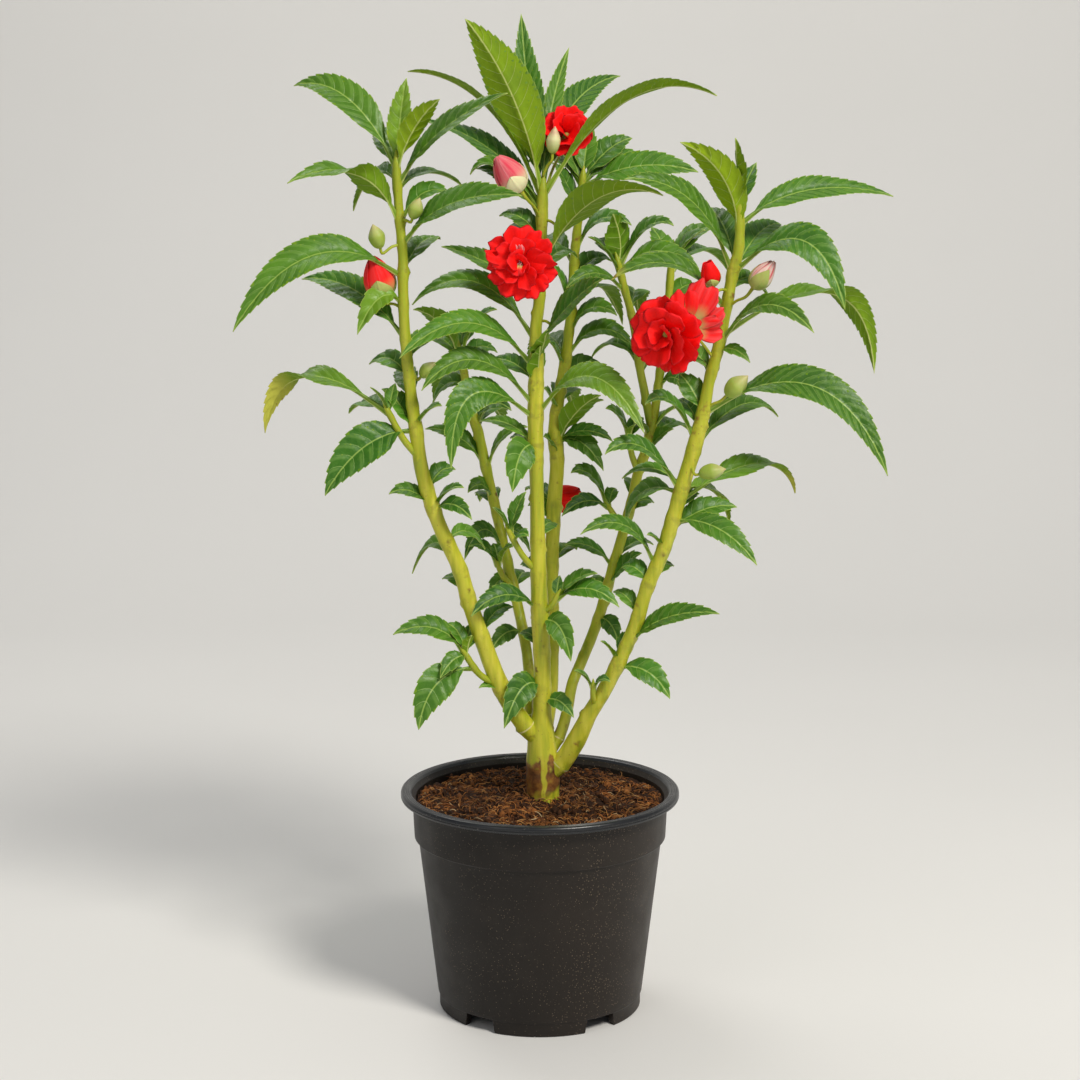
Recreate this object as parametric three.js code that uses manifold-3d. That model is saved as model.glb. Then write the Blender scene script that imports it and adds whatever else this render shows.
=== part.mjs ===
import * as THREE from 'three';
import { mergeVertices } from 'three/addons/utils/BufferGeometryUtils.js';
import Module from 'manifold-3d';

// A potted garden balsam: a round plastic nursery pot filled with coir soil, and one
// many-stemmed plant with lance-shaped, saw-edged leaves and double red flowers.
// Millimetres, +Z up. The pot stands on its feet at z = 0, and the plant's
// routes are drawn with the pot's axis at x = 0, y = 0 and the front at -Y.

const wasm = await Module();
wasm.setup();

// Driving dimensions of the pot
const potHeight = 120;
const lipRadius = 75;
const lipHeight = 4;
const lipWidth = 5.5;
const lipEase = 1;
const collarTopRadius = 69;
const collarFootRadius = 67.8;
const collarFootHeight = 94;
const bodyTopRadius = 65.7;
const bodyFootRadius = 55.6;
const footStepHeight = 7.8;
const footRadius = 54.8;
const footHeight = 8.3;
const wall = 1.7;
const floorTop = 10.3;
const collarStep = 1;
const floorFillet = [[0.8, 1], [2, 0]];
const lipInnerLean = 0.4;
const footStepEase = 0.6;
const footRingLean = 1;
const potSides = 36;
const notchCount = 5;
const notchWidth = 20;
const notchDepth = 9;
const notchLean = 1.5;
const notchRoof = 0.8;
const overCut = 1;
const footRingWidth = 5;
const drainCount = 5;
const drainRadius = 4;
const drainCircle = 38;
const drainSides = 8;
const drainTurn = 0.05;

// Driving dimensions of the soil
const gap = 0.3;
const soilHeight = 113;
const soilSwell = 1.6;
const soilWave = 0.35;
const soilRuffle = 0.5;
// Each wave of the soil: height share, turns round the pot, turns along the radius, phase
const soilWaves = [[1, 3, 0.09, 0], [0.7, 7, -0.21, 1.3]];
const ruffleTurns = 5;
const rufflePitch = 0.55;
const soilMound = 1.6;
const moundRadius = 30;
const soilInset = 0.3;
const soilFillet = 1.1;
const soilRings = 4;

// Driving dimensions of leaves, stems and flowers
const stemSides = 7;
const shootSides = 5;
const stalkSides = 4;
const mainStemRadius = 2.5;
const stemStep = 19;
const shootStep = 8;
const stalkStep = 6;
const trunkClearance = 0.36;
const stalkShare = 0.13;
const stalkHalfWidth = 1.1;
const rootDepth = 1.6;
const ribAbove = 0.25;
const ribBelow = 0.75;
const bladeFold = 16;
const turnEase = 0.3;
const lanceLean = 0.78;
const lanceFullness = 0.9;
const finestHalfWidth = 0.5;
const notchShare = 0.84;
const toothReach = 0.68;
const fewestTeeth = 2;
const longLeaf = 62;
const midLeaf = 40;
const smallLeaf = 20;
const stalkRadius = 0.9;
const stalkApproach = 0.3;
const stalkRise = 0.08;
const budSides = 7;
const budRings = 5;

// A petal's outline as shares of its length and half widths as shares of its width
const petalOutline = [[0, 0.14], [0.5, 0.47], [0.96, 0.36]];
const petalMiddle = 0.5;
const petalNotch = 0.86;
const petalHalfThickness = 0.45;
const petalRoot = 0.65;
const petalCup = 0.22;
const petalDip = 0.1;
const petalRipple = 0.06;
const petalLap = 9;
const closedLap = 0.25;
const ringTurn = 0.35;

const degree = Math.PI / 180;
const weld = 1e-4;

// Shading of each kind of surface
const looks = {
  pot: { color: 0x1d1b1c, roughness: 0.55, metalness: 0 },
  soil: { color: 0x4f2d1a, roughness: 0.95, metalness: 0 },
  leafyStem: { color: 0x4f8a2c, roughness: 0.45, metalness: 0 },
  redPetal: { color: 0xd3121f, roughness: 0.55, metalness: 0 },
  pinkPetal: { color: 0xe0708a, roughness: 0.55, metalness: 0 },
};

// Every growing axis: the stem that it belongs to, its route as points of
// x, y, z and radius, and its leaves. A leaf row holds: height of its foot on
// the axis; the reach of its tip right, back and up from there; how far along
// and how high its arch is drawn; blade width; turn of the upper face to the front.
const axes = [
  {
    stem: 'centre',
    route: [
      [1.5, 0, 79, 5.5], [1.7, 0, 100, 7.5], [1.6, 0, 114, 8.6], [1.6, 0, 126, 9], [1, 0, 140, 8],
      [0.5, 0, 151, 6.8], [0.8, -1, 162, 5.2], [1.3, -3, 185, 4.5], [0, -6, 219, 4.7],
      [-1, -8, 250, 4], [-1.6, -10, 285, 3.6], [-2.2, -11, 310, 4], [-2.1, -12, 335, 4],
      [-1.6, -12, 353, 3.4], [-2.1, -12, 368, 3.1], [-0.5, -11, 381, 3], [0.6, -9, 405, 2.8],
      [1, -8, 428, 2.9], [1.5, -8, 440, 2.2],
    ],
    leaves: [
      [437, -39, -12, 87, 0.28, 55, 24, -60],
      [436, -11, 12, 92, 0.7, 42, 15, 20],
      [438, 14, 46, 72, 0.05, 40, 11, 10],
      [436, 87, -26, 50, 0.48, 72, 18, -10],
      [435, -70, 26, 65, 0.36, 64, 16, -10],
      [431, -64, 24, 44, 0.36, 36, 15, 15],
      [427, -37, -3, 20, 0.68, 38, 10, 15],
      [436, 42, 66, 58, 0.15, 55, 15, 20],
      [402, 61, -34, 35, 0.42, 49, 21, -20],
      [358, 33, -38, 38, 0.45, 26, 19, 45],
      [323, 55, -36, -5, 0.52, 47, 17, 30],
      [362, -65, 12, 18, 0.48, 51, 15, 25],
      [347, -69, -34, 9, 0.46, 46, 15, 30],
      [385, -51, 16, 25, 0.45, 18, 14, 15],
      [328, -58, -28, 11, 0.55, 45, 15, 30],
      [322, -43, -30, -23, 1, 40, 16, 45],
      [307, -30, 10, 12, 0.45, 16, 7, 20],
      [340, -24, 16, 11, 0.5, 14, 9, 20],
      [307, -12, -16, -22, 0.8, 6, 15, 45],
      [219, -36, -22, 1, 0.5, 20, 11, 25],
      [238, -10, 9, 4, 0.4, 10, 7, 20],
      [212, 16, -14, -18, 0.7, 9, 11, 45],
      [168, 17, -11, -6, 0.55, 7, 8, 35],
      [176, -20, -18, -18, 0.55, 13, 14, 40],
      [353, 5, -12, 16, 0.5, 5, 11, 10],
    ],
  },
  {
    stem: 'centre',
    route: [[-0.8, -7, 239, 1.8], [-9, -11, 249, 1.7], [-16, -14, 262, 1.4]],
    leaves: [
      [261, -9, -4, 15, 0.3, 10, 7, 10],
      [261, 8, 4, 22, 0.3, 14, 8, 10],
      [258, 8, -7, 3, 0.5, 6, 6, 20],
    ],
  },
  {
    stem: 'centre',
    route: [[0, -6, 217, 1.8], [6, -10, 222, 1.6], [9, -12, 228, 1.3]],
    leaves: [
      [226, 22, -6, 15, 0.45, 14, 9, 20],
      [225, 34, -12, -1, 0.5, 16, 10, 30],
      [227, 2, 4, 11, 0.3, 6, 5, 0],
    ],
  },
  {
    stem: 'centre_back',
    route: [
      [0, 2, 138, 3.6], [2.5, 10, 147, 3.8], [6, 18, 166, 3.4], [6.8, 24, 200, 3.4],
      [6.5, 30, 231, 3.5], [7.4, 36, 266, 4], [9.3, 40, 292, 3.9], [8.2, 42, 309, 3.9],
      [10.9, 44, 331, 3], [13.6, 45, 345, 3], [16.8, 47, 374, 2.5], [18.4, 48, 400, 2.4],
      [21.5, 48, 430, 2.1], [23, 48, 445, 1.8],
    ],
    leaves: [
      [440, 62, -8, 8, 0.45, 18, 17, 40],
      [443, 27, 8, 23, 0.45, 20, 13, 30],
      [442, 36, 14, 14, 0.5, 16, 14, 35],
      [441, -14, 12, 30, 0.4, 18, 11, 0],
      [445, 4, 12, 28, 0.4, 16, 10, 0],
      [441, -30, 18, 12, 0.45, 22, 12, 0],
      [303, 24, -14, 27, 0.45, 22, 14, -30],
      [303, 31, -6, 1, 0.5, 12, 9, 20],
      [414, 10, 58, 4, 0.5, 34, 16, 0],
      [398, -30, 46, -4, 0.5, 30, 15, 0],
      [375, 30, 50, -12, 0.55, 28, 16, 0],
      [347, -20, 52, -14, 0.55, 28, 15, 0],
      [318, 10, 50, -4, 0.5, 26, 14, 0],
      [268, -16, 22, 6, 0.5, 14, 9, 0],
      [236, 14, 20, 6, 0.5, 14, 9, 0],
    ],
  },
  {
    stem: 'left',
    route: [
      [0, 0, 146, 4.4], [-7, -3, 154, 4.9], [-20, -8, 176, 4.8], [-30.6, -13, 205, 4.4],
      [-36.8, -16, 224, 4.1], [-42.4, -18, 244, 4], [-52.5, -20, 267, 3.8], [-61, -22, 295, 3.7],
      [-63.9, -23, 317, 3.4], [-66.2, -24, 335, 3], [-68.3, -25, 357, 2.8], [-69.4, -25, 375, 2.7],
      [-69.7, -25, 390, 2.7], [-69.8, -24, 407, 2.5], [-71.1, -23, 423, 2.4],
      [-72.4, -22, 444, 2.2], [-72.6, -22, 453, 1.8],
    ],
    leaves: [
      [450, -54, 24, 42, 0.43, 49, 18, 30],
      [450, 5, 5, 45, 0.2, 24, 10, 20],
      [450, 23, -20, 34, 0.35, 24, 11, -20],
      [442, 56, -20, 45, 0.3, 30, 17, 30],
      [423, -54, -26, 20, 0.3, 39, 15, 15],
      [444, -26, 40, -16, 0.55, 14, 13, 20],
      [447, -12, 36, 22, 0.4, 24, 12, 10],
      [440, 32, 32, 1, 0.45, 16, 10, 0],
      [412, 61, -34, 25, 0.32, 28, 20, 30],
      [396, -83, -32, -26, 0.56, 35, 21, 32],
      [364, -56, 32, 29, 0.45, 33, 16, 25],
      [382, -23, -11, -15, 0.5, 14, 11, 30],
      [398, 18, 30, 16, 0.45, 20, 11, 0],
      [330, -8, 30, 16, 0.45, 18, 10, 10],
      [317, -46, -16, -32, 0.62, 1, 21, 45],
      [319, 14, -11, 12, 0.45, 12, 8, 10],
      [276, -23, -4, 8, 0.5, 14, 9, 20],
      [276, 16, -8, 12, 0.4, 13, 8, 10],
      [275, 20, -14, -3, 0.5, 9, 8, 30],
      [243, -26, 16, -5, 0.5, 28, 9, 20],
      [206, 17, 6, 15, 0.3, 17, 9, 10],
      [177, -12, -7, 2, 0.5, 4, 5, 20],
    ],
  },
  {
    stem: 'left',
    route: [[-61.3, -22, 301, 1.9], [-70, -25, 312, 1.8], [-78, -27, 327, 1.5]],
    leaves: [
      [326, -66, 16, -12, 0.86, 42, 15, 25],
      [325, -24, 30, -2, 0.5, 12, 11, 10],
      [326, -9, -4, 14, 0.3, 9, 6, 0],
      [326, 3, 6, 15, 0.3, 9, 6, 0],
    ],
  },
  {
    stem: 'left',
    route: [[-21, -8, 178, 1.9], [-32, -14, 186, 1.8], [-39.5, -18, 198, 1.5]],
    leaves: [
      [197, -38, -8, 13, 0.35, 24, 13, 25],
      [190, -29, -16, -30, 0.85, 2, 17, 45],
      [196, -14, -11, -9, 0.5, 4, 8, 30],
      [197, -11, 5, 16, 0.3, 16, 8, 10],
      [197, 3, -5, 12, 0.3, 8, 6, 0],
      [198, 3, 11, 14, 0.5, 8, 8, 0],
    ],
  },
  {
    stem: 'left_back',
    route: [
      [-1, 1, 147, 2.9], [-5, 8, 158, 3], [-6, 14, 180, 2.9], [-7.6, 20, 193, 2.9],
      [-10.9, 26, 209, 2.9], [-16.4, 34, 232, 2.8], [-20.8, 38, 250, 2.8], [-24.6, 42, 267, 2.7],
      [-29.6, 46, 288, 2.8], [-33.4, 48, 306, 2.6], [-36.1, 49, 314, 2.6], [-41, 51, 337, 2.3],
      [-44, 52, 352, 1.9],
    ],
    leaves: [
      [349, -25, -10, 26, 0.35, 24, 14, -30],
      [348, 20, 10, 2, 0.5, 10, 9, 20],
      [349, 20, -8, 26, 0.3, 24, 11, 10],
      [351, 3, 20, 22, 0.5, 14, 11, 0],
      [344, -22, 16, 12, 0.45, 20, 12, 0],
      [290, -33, 6, 19, 0.4, 20, 11, 20],
      [288, 23, -10, 24, 0.3, 22, 10, 20],
      [238, -23, -14, 3, 0.55, 36, 9, 30],
      [201, -17, -16, -7, 0.6, 6, 8, 35],
      [326, -22, 46, -6, 0.5, 26, 14, 0],
      [308, 14, 44, -2, 0.5, 24, 13, 0],
      [264, -10, 28, 2, 0.5, 18, 11, 0],
      [222, 8, 22, 4, 0.5, 14, 9, 0],
    ],
  },
  {
    stem: 'right',
    route: [
      [2, 0, 126, 4.8], [11, -2, 134, 5.2], [19.3, -6, 148, 5.2], [26.1, -10, 163, 4.2],
      [33.4, -13, 176, 4], [40.1, -16, 190, 3.8], [45.7, -18, 203, 3.6], [51.3, -20, 218, 3.7],
      [55.8, -22, 234, 3.6], [63.9, -24, 254, 3.7], [69.3, -26, 273, 3.7], [74.2, -27, 291, 3.8],
      [78.6, -28, 306, 3.9], [83.9, -29, 328, 3.3], [86.3, -29, 342, 2.9], [91.2, -29, 361, 2.9],
      [94.5, -29, 379, 2.8], [97.9, -28, 398, 2.9], [100.7, -28, 410, 2.6], [101, -27, 434, 2],
    ],
    leaves: [
      [412, -31, -10, 51, 0, 39, 16, -45],
      [430, -3, -8, 35, 0.3, 18, 11, 40],
      [430, 9, 10, 23, 0.2, 12, 8, 0],
      [422, 81, 22, 14, 0.38, 27, 15, 30],
      [398, 53, -32, -17, 0.72, 42, 19, 35],
      [396, 29, 42, 25, 0.5, 28, 14, 10],
      [398, -56, -20, 47, 0.3, 49, 19, 35],
      [402, -12, 30, 28, 0.35, 24, 12, 10],
      [366, 83, 30, -22, 0.92, 52, 16, 15],
      [362, 44, -34, 8, 0.46, 37, 12, 25],
      [380, -59, -12, 15, 0.46, 37, 13, 20],
      [326, 91, -30, -28, 0.68, 46, 20, 34],
      [358, 16, -9, -5, 0.5, 5, 6, 30],
      [307, 47, 32, 14, 0.58, 36, 13, 15],
      [312, -27, -12, 20, 0.5, 32, 10, 20],
      [286, -40, -16, 21, 0.55, 37, 11, 25],
      [285, -28, 18, -24, 0.9, 8, 14, 30],
      [288, -31, 10, 3, 0.5, 16, 7, 20],
      [280, 63, 18, 2, 0.84, 36, 15, 30],
      [286, 28, 30, -23, 0.8, 6, 13, 15],
      [270, 42, -24, -19, 0.56, 6, 12, 30],
      [246, -40, -14, 19, 0.36, 35, 11, 25],
      [255, -9, -8, 9, 0.4, 8, 6, 10],
      [202, 47, -22, 22, 0.36, 23, 13, 25],
      [190, 28, -12, -14, 0.64, 6, 11, 35],
      [192, -9, -6, 14, 0.3, 10, 7, 0],
      [195, 6, 8, 14, 0.3, 10, 7, 0],
    ],
  },
  {
    stem: 'right',
    route: [[29, -12, 169, 1.6], [28, -17, 174, 1.5], [28, -19, 181, 1.2]],
    leaves: [
      [180, -10, -3, 10, 0.4, 8, 6, 0],
      [180, 9, -4, 4, 0.4, 7, 6, 10],
    ],
  },
  {
    stem: 'right_back',
    route: [
      [3, 1, 136, 3], [10.5, 4.5, 148, 3.2], [14.5, 8, 160, 3], [17.4, 14, 174, 3],
      [22.4, 20, 185, 3], [27.6, 27, 196, 3], [32.3, 31, 208, 3], [36.7, 35, 223, 2.9],
      [43.9, 41, 247, 2.8], [50.5, 45, 270, 2.8], [53.8, 48, 285, 2.8], [59.2, 50, 300, 2.9],
      [61.4, 52, 311, 2.8], [63.1, 54, 319, 2.5], [65.4, 58, 335, 2.3], [68.5, 62, 360, 2.2],
      [70.8, 64, 382, 2.1], [71.8, 64, 397, 1.8],
    ],
    leaves: [
      [235, -27, -8, 13, 0.45, 16, 9, 20],
      [207, 11, -10, -12, 0.6, 3, 8, 30],
      [394, 18, -6, 23, 0.4, 20, 12, 10],
      [394, -10, 16, 24, 0.3, 16, 11, 0],
      [393, 36, 38, -2, 0.5, 26, 15, 0],
      [388, 6, 48, 4, 0.5, 28, 15, 0],
      [362, 34, 42, -12, 0.5, 24, 15, 0],
      [340, -8, 50, -8, 0.5, 26, 14, 0],
      [300, 30, 36, -2, 0.5, 22, 13, 0],
      [268, 6, 30, 4, 0.5, 18, 11, 0],
      [238, 22, 16, 6, 0.5, 14, 9, 0],
    ],
  },
  {
    stem: 'right_back',
    route: [
      [60.8, 51, 308, 2], [58, 52, 325, 2.4], [54.5, 50, 342, 2.2], [52.2, 48, 358, 2.2],
      [49.2, 45, 373, 2.1], [45.8, 43, 385, 2], [41.9, 42, 400, 1.7],
    ],
    leaves: [
      [398, -4, -10, 28, -0.5, 16, 17, -60],
      [398, 29, -8, 22, 0.5, 30, 11, 20],
      [396, 42, -12, 1, 0.45, 20, 12, 25],
      [392, -18, -6, 22, 0.4, 18, 9, 10],
      [385, -32, -16, 2, 0.5, 18, 10, 20],
      [397, -12, 18, 14, 0.4, 18, 12, 0],
      [372, 6, 46, -4, 0.5, 26, 14, 0],
      [345, -26, 16, 2, 0.5, 20, 12, 0],
    ],
  },
];

// Green buds on their stalks: stem, foot of the stalk and centre of the bud in x, y, z,
// half length and half width of the bud, and the way its tip points.
const greenBuds = [
  {
    stem: 'left', foot: [-70.2, -24, 412], centre: [-82.5, -30, 416],
    half: [5, 3.4], tip: [-0.3, -0.2, 1],
  },
  {
    stem: 'left', foot: [-71.2, -23, 424], centre: [-62.5, -30, 430],
    half: [4.6, 3], tip: [0.4, -0.3, 1],
  },
  {
    stem: 'left', foot: [-67.8, -25, 352], centre: [-57.5, -22, 348],
    half: [4.4, 3], tip: [0.6, -0.2, 0.6],
  },
  {
    stem: 'right', foot: [83.5, -29, 326], centre: [100, -36, 341],
    half: [6, 4], tip: [0.8, -0.3, 0.8],
  },
  {
    stem: 'right', foot: [76.5, -28, 299], centre: [88, -36, 297],
    half: [5.5, 3.4], tip: [0.9, -0.2, 0.2],
  },
  {
    stem: 'centre', foot: [1, -8, 424], centre: [13, -15, 428],
    half: [4.4, 3], tip: [0.4, -0.2, 1],
  },
];

// Blooms and coloured buds: node name, stem that carries them, foot of the
// stalk, centre, the way the face looks, and rings of petals from the outside
// in, each ring as count, petal length, petal width and opening angle.
const blooms = [
  {
    name: 'bloom_centre', stem: 'centre', look: 'redPetal', core: 3.6,
    foot: [0, -10, 388], centre: [-9.5, -27, 402], face: [-0.12, -1, 0.08],
    rings: [[6, 19.5, 16, 82], [5, 15.5, 13, 58], [3, 11, 10, 30]],
  },
  {
    name: 'bloom_right', stem: 'right', look: 'redPetal', core: 4,
    foot: [89.5, -29, 353], centre: [65, -49, 369], face: [-0.45, -0.8, -0.28],
    rings: [[6, 24, 19, 82], [5, 19, 16, 58], [4, 13, 12, 30]],
  },
  {
    name: 'bloom_top', stem: 'centre', look: 'redPetal', core: 3.2,
    foot: [1.4, -8, 434], centre: [14.5, -4, 465.5], face: [0.15, -0.95, 0.3],
    rings: [[5, 14, 12, 74], [3, 10.5, 10, 36]],
  },
  {
    name: 'bloom_low', stem: 'centre_back', look: 'redPetal', core: 2.8,
    foot: [8, 38, 266], centre: [12.5, 51, 270], face: [0.5, -0.8, 0.3],
    rings: [[5, 10, 9, 68], [2, 7, 7, 30]],
  },
  {
    name: 'bud_left_red', stem: 'left', look: 'redPetal', core: 3.4,
    foot: [-69.6, -24, 404], centre: [-82, -20, 400], face: [-0.2, -0.35, -1],
    rings: [[4, 12, 8.5, 28]],
  },
  {
    name: 'bud_right_red', stem: 'right', look: 'redPetal', core: 2.4,
    foot: [96.5, -28.5, 388], centre: [84.5, -40, 389], face: [-0.3, -0.4, 1],
    rings: [[3, 8.5, 7, 24]],
  },
  {
    name: 'bud_top_pink', stem: 'centre', look: 'pinkPetal', core: 4,
    foot: [1, -8, 422], centre: [-13, -24, 443], face: [-0.55, -0.3, 0.75],
    rings: [[4, 13, 9.5, 28]],
  },
  {
    name: 'bud_right_pink', stem: 'right', look: 'pinkPetal', core: 3.2,
    foot: [98.2, -28, 399], centre: [112.5, -39, 393], face: [0.55, -0.25, 0.75],
    rings: [[3, 10, 8, 24]],
  },
];

// A closed solid for joining and cutting, from any closed geometry
function solidOf(geometry) {
  const bare = geometry.clone();
  bare.deleteAttribute('normal');
  bare.deleteAttribute('uv');
  const merged = mergeVertices(bare, weld);
  const mesh = new wasm.Mesh({
    numProp: 3,
    vertProperties: new Float32Array(merged.attributes.position.array),
    triVerts: new Uint32Array(merged.index.array),
  });
  return new wasm.Manifold(mesh);
}

function geometryOf(solid) {
  const mesh = solid.getMesh();
  const geometry = new THREE.BufferGeometry();
  geometry.setAttribute('position', new THREE.BufferAttribute(new Float32Array(mesh.vertProperties), 3));
  geometry.setIndex(new THREE.BufferAttribute(new Uint32Array(mesh.triVerts), 1));
  geometry.computeVertexNormals();
  return geometry;
}

function joined(solids) {
  return solids.reduce((whole, next) => whole.add(next));
}

function solidFromFaces(points, triangles) {
  const geometry = new THREE.BufferGeometry();
  geometry.setAttribute('position', new THREE.Float32BufferAttribute(points.flatMap((p) => p.toArray()), 3));
  geometry.setIndex(triangles.flat());
  return solidOf(geometry);
}

// A round shaft through points of x, y, z and radius, swept as rings along a
// smooth curve and closed at both ends, grown by an extra width for a clearance
function taperedShaft(route, sides, step, extra = 0) {
  const centres = route.map(([x, y, z]) => new THREE.Vector3(x, y, z));
  const curve = centres.length > 2 ? new THREE.CatmullRomCurve3(centres) : new THREE.LineCurve3(...centres);
  const count = Math.max(2, Math.round(curve.getLength() / step));
  const frames = curve.computeFrenetFrames(count);
  const points = [];
  const triangles = [];
  for (let i = 0; i <= count; i += 1) {
    const u = i / count;
    const along = curve.getUtoTmapping(u) * (route.length - 1);
    const before = Math.min(Math.floor(along), route.length - 2);
    const radius = THREE.MathUtils.lerp(route[before][3], route[before + 1][3], along - before) + extra;
    const beyond = i === 0 ? -extra : i === count ? extra : 0;
    const centre = curve.getPointAt(u).addScaledVector(frames.tangents[i], beyond);
    for (let s = 0; s < sides; s += 1) {
      const angle = (s / sides) * 2 * Math.PI;
      const spoke = frames.normals[i].clone().multiplyScalar(Math.cos(angle) * radius);
      spoke.addScaledVector(frames.binormals[i], Math.sin(angle) * radius);
      points.push(centre.clone().add(spoke));
    }
  }
  for (let i = 0; i < count; i += 1) {
    for (let s = 0; s < sides; s += 1) {
      const a = i * sides + s;
      const b = i * sides + ((s + 1) % sides);
      triangles.push([a, b, b + sides], [a, b + sides, a + sides]);
    }
  }
  const last = count * sides;
  for (let s = 1; s < sides - 1; s += 1) {
    triangles.push([0, s + 1, s], [last, last + s, last + s + 1]);
  }
  return solidFromFaces(points, triangles);
}

// The point of an axis at a height, read from its route
function footOn(route, height) {
  const next = Math.max(1, route.findIndex(([, , z]) => z >= height));
  const [a, b] = [route[next - 1], route[next]];
  const share = THREE.MathUtils.clamp((height - a[2]) / (b[2] - a[2]), 0, 1);
  return new THREE.Vector3(...a.slice(0, 3)).lerp(new THREE.Vector3(...b.slice(0, 3)), share);
}

// Half width of a lance-shaped blade at a share of the blade's length
function lanceHalfWidth(share, width) {
  return (width / 2) * Math.sin(Math.PI * share ** lanceLean) ** lanceFullness;
}

// One leaf: a stalk and a lens-thick blade along an arch, folded a little
// upwards from its rib, with saw teeth that point to the tip
function leafSolid(foot, [, right, back, up, archShare, archHeight, width, turn]) {
  const tip = foot.clone().add(new THREE.Vector3(right, back, up));
  const bend = foot.clone().add(new THREE.Vector3(right * archShare, back * archShare, archHeight));
  const rib = new THREE.QuadraticBezierCurve3(foot, bend, tip);
  const level = new THREE.Vector3(right, back, 0).normalize();
  const side = new THREE.Vector3(level.y, -level.x, 0);
  const facing = turn * degree * (right < 0 ? -1 : 1);
  const length = rib.getLength();
  const teeth = [smallLeaf, midLeaf, longLeaf].filter((limit) => length > limit).length + fewestTeeth;
  const place = (t, across, rise) => {
    const along = rib.getTangent(t);
    const eased = Math.min(1, t / turnEase);
    const lateral = side.clone().applyAxisAngle(along, facing * eased);
    const normal = lateral.clone().cross(along);
    const fold = bladeFold * degree;
    const point = rib.getPoint(t).addScaledVector(lateral, across * Math.cos(fold));
    return point.addScaledVector(normal, rise + Math.abs(across) * Math.sin(fold));
  };
  const points = [];
  const triangles = [];
  const add = (point) => points.push(point) - 1;
  const station = (t, half) => ({
    above: add(place(t, 0, ribAbove)),
    below: add(place(t, 0, -ribBelow)),
    edges: [add(place(t, -half, 0)), add(place(t, half, 0))],
  });
  const face = (a, b, c, flip) => triangles.push(flip ? [a, c, b] : [a, b, c]);
  const root = add(foot.clone().addScaledVector(rib.getTangent(0), -rootDepth));
  let last = station(stalkShare, stalkHalfWidth);
  for (const s of [0, 1]) {
    face(root, last.edges[s], last.above, s === 0);
    face(root, last.edges[s], last.below, s === 1);
  }
  for (let i = 0; i < teeth; i += 1) {
    const toothShare = (i + toothReach) / teeth;
    const toothAt = stalkShare + (1 - stalkShare) * toothShare;
    const endShare = (i + 1) / teeth;
    const endAt = stalkShare + (1 - stalkShare) * endShare;
    const toothHalf = Math.max(lanceHalfWidth(toothShare, width), finestHalfWidth);
    const toothEdges = [add(place(toothAt, -toothHalf, 0)), add(place(toothAt, toothHalf, 0))];
    if (i === teeth - 1) {
      const point = add(tip);
      for (const s of [0, 1]) {
        for (const [mid, flip] of [[last.above, s === 0], [last.below, s === 1]]) {
          face(mid, last.edges[s], toothEdges[s], flip);
          face(mid, toothEdges[s], point, flip);
        }
      }
      break;
    }
    const next = station(endAt, lanceHalfWidth(endShare, width) * notchShare);
    for (const s of [0, 1]) {
      const sheets = [[last.above, next.above, s === 0], [last.below, next.below, s === 1]];
      for (const [mid, midNext, flip] of sheets) {
        face(mid, last.edges[s], toothEdges[s], flip);
        face(mid, toothEdges[s], midNext, flip);
        face(midNext, toothEdges[s], next.edges[s], flip);
      }
    }
    last = next;
  }
  return solidFromFaces(points, triangles);
}

// A closed egg shape along a direction, for a green bud
function eggSolid(centre, tipWay, [halfLength, halfWidth]) {
  const egg = new THREE.SphereGeometry(1, budSides, budRings);
  egg.scale(halfWidth, halfLength, halfWidth);
  const turn = new THREE.Quaternion().setFromUnitVectors(new THREE.Vector3(0, 1, 0), tipWay);
  egg.applyQuaternion(turn);
  egg.translate(centre.x, centre.y, centre.z);
  return solidOf(egg);
}

// A flower stalk: it leaves the stem, rises a little and bends to the flower
function stalkRoute(foot, end, endWay) {
  const start = new THREE.Vector3(...foot);
  const reach = start.distanceTo(end);
  const approach = end.clone().addScaledVector(endWay, -stalkApproach * reach);
  const middle = start.clone().lerp(approach, 0.5).add(new THREE.Vector3(0, 0, stalkRise * reach));
  return [start, middle, approach, end].map((p) => [p.x, p.y, p.z, stalkRadius]);
}

// One petal: a broad blade from the bloom's core with a notch in its end
function petalSolid(core, length, width, open, spin, axisTurn, centre) {
  const root = petalRoot * core;
  const closing = Math.cos(open * degree);
  const cup = (share) => length * (petalCup * share ** 2 * closing - petalDip * share);
  const place = (share, across, rise) => {
    const ripple = (petalRipple * length * Math.abs(across)) / (width / 2);
    const flat = new THREE.Vector3(across, root + share * (length - root), -cup(share) + ripple + rise);
    flat.applyAxisAngle(new THREE.Vector3(0, 1, 0), (petalLap + closedLap * (90 - open)) * degree);
    flat.applyAxisAngle(new THREE.Vector3(1, 0, 0), (90 - open) * degree);
    flat.applyAxisAngle(new THREE.Vector3(0, 0, 1), spin);
    return flat.applyQuaternion(axisTurn).add(centre);
  };
  const points = [];
  const add = (point) => points.push(point) - 1;
  const foot = add(place(0, 0, 0));
  const notch = add(place(petalNotch, 0, 0));
  const above = add(place(petalMiddle, 0, petalHalfThickness));
  const below = add(place(petalMiddle, 0, -petalHalfThickness));
  const left = petalOutline.map(([share, half]) => add(place(share, -half * width, 0)));
  const right = petalOutline.map(([share, half]) => add(place(share, half * width, 0)));
  const rim = [foot, ...right, notch, ...left.reverse()];
  const triangles = [];
  rim.forEach((here, i) => {
    const next = rim[(i + 1) % rim.length];
    triangles.push([above, here, next], [below, next, here]);
  });
  return solidFromFaces(points, triangles);
}

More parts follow.
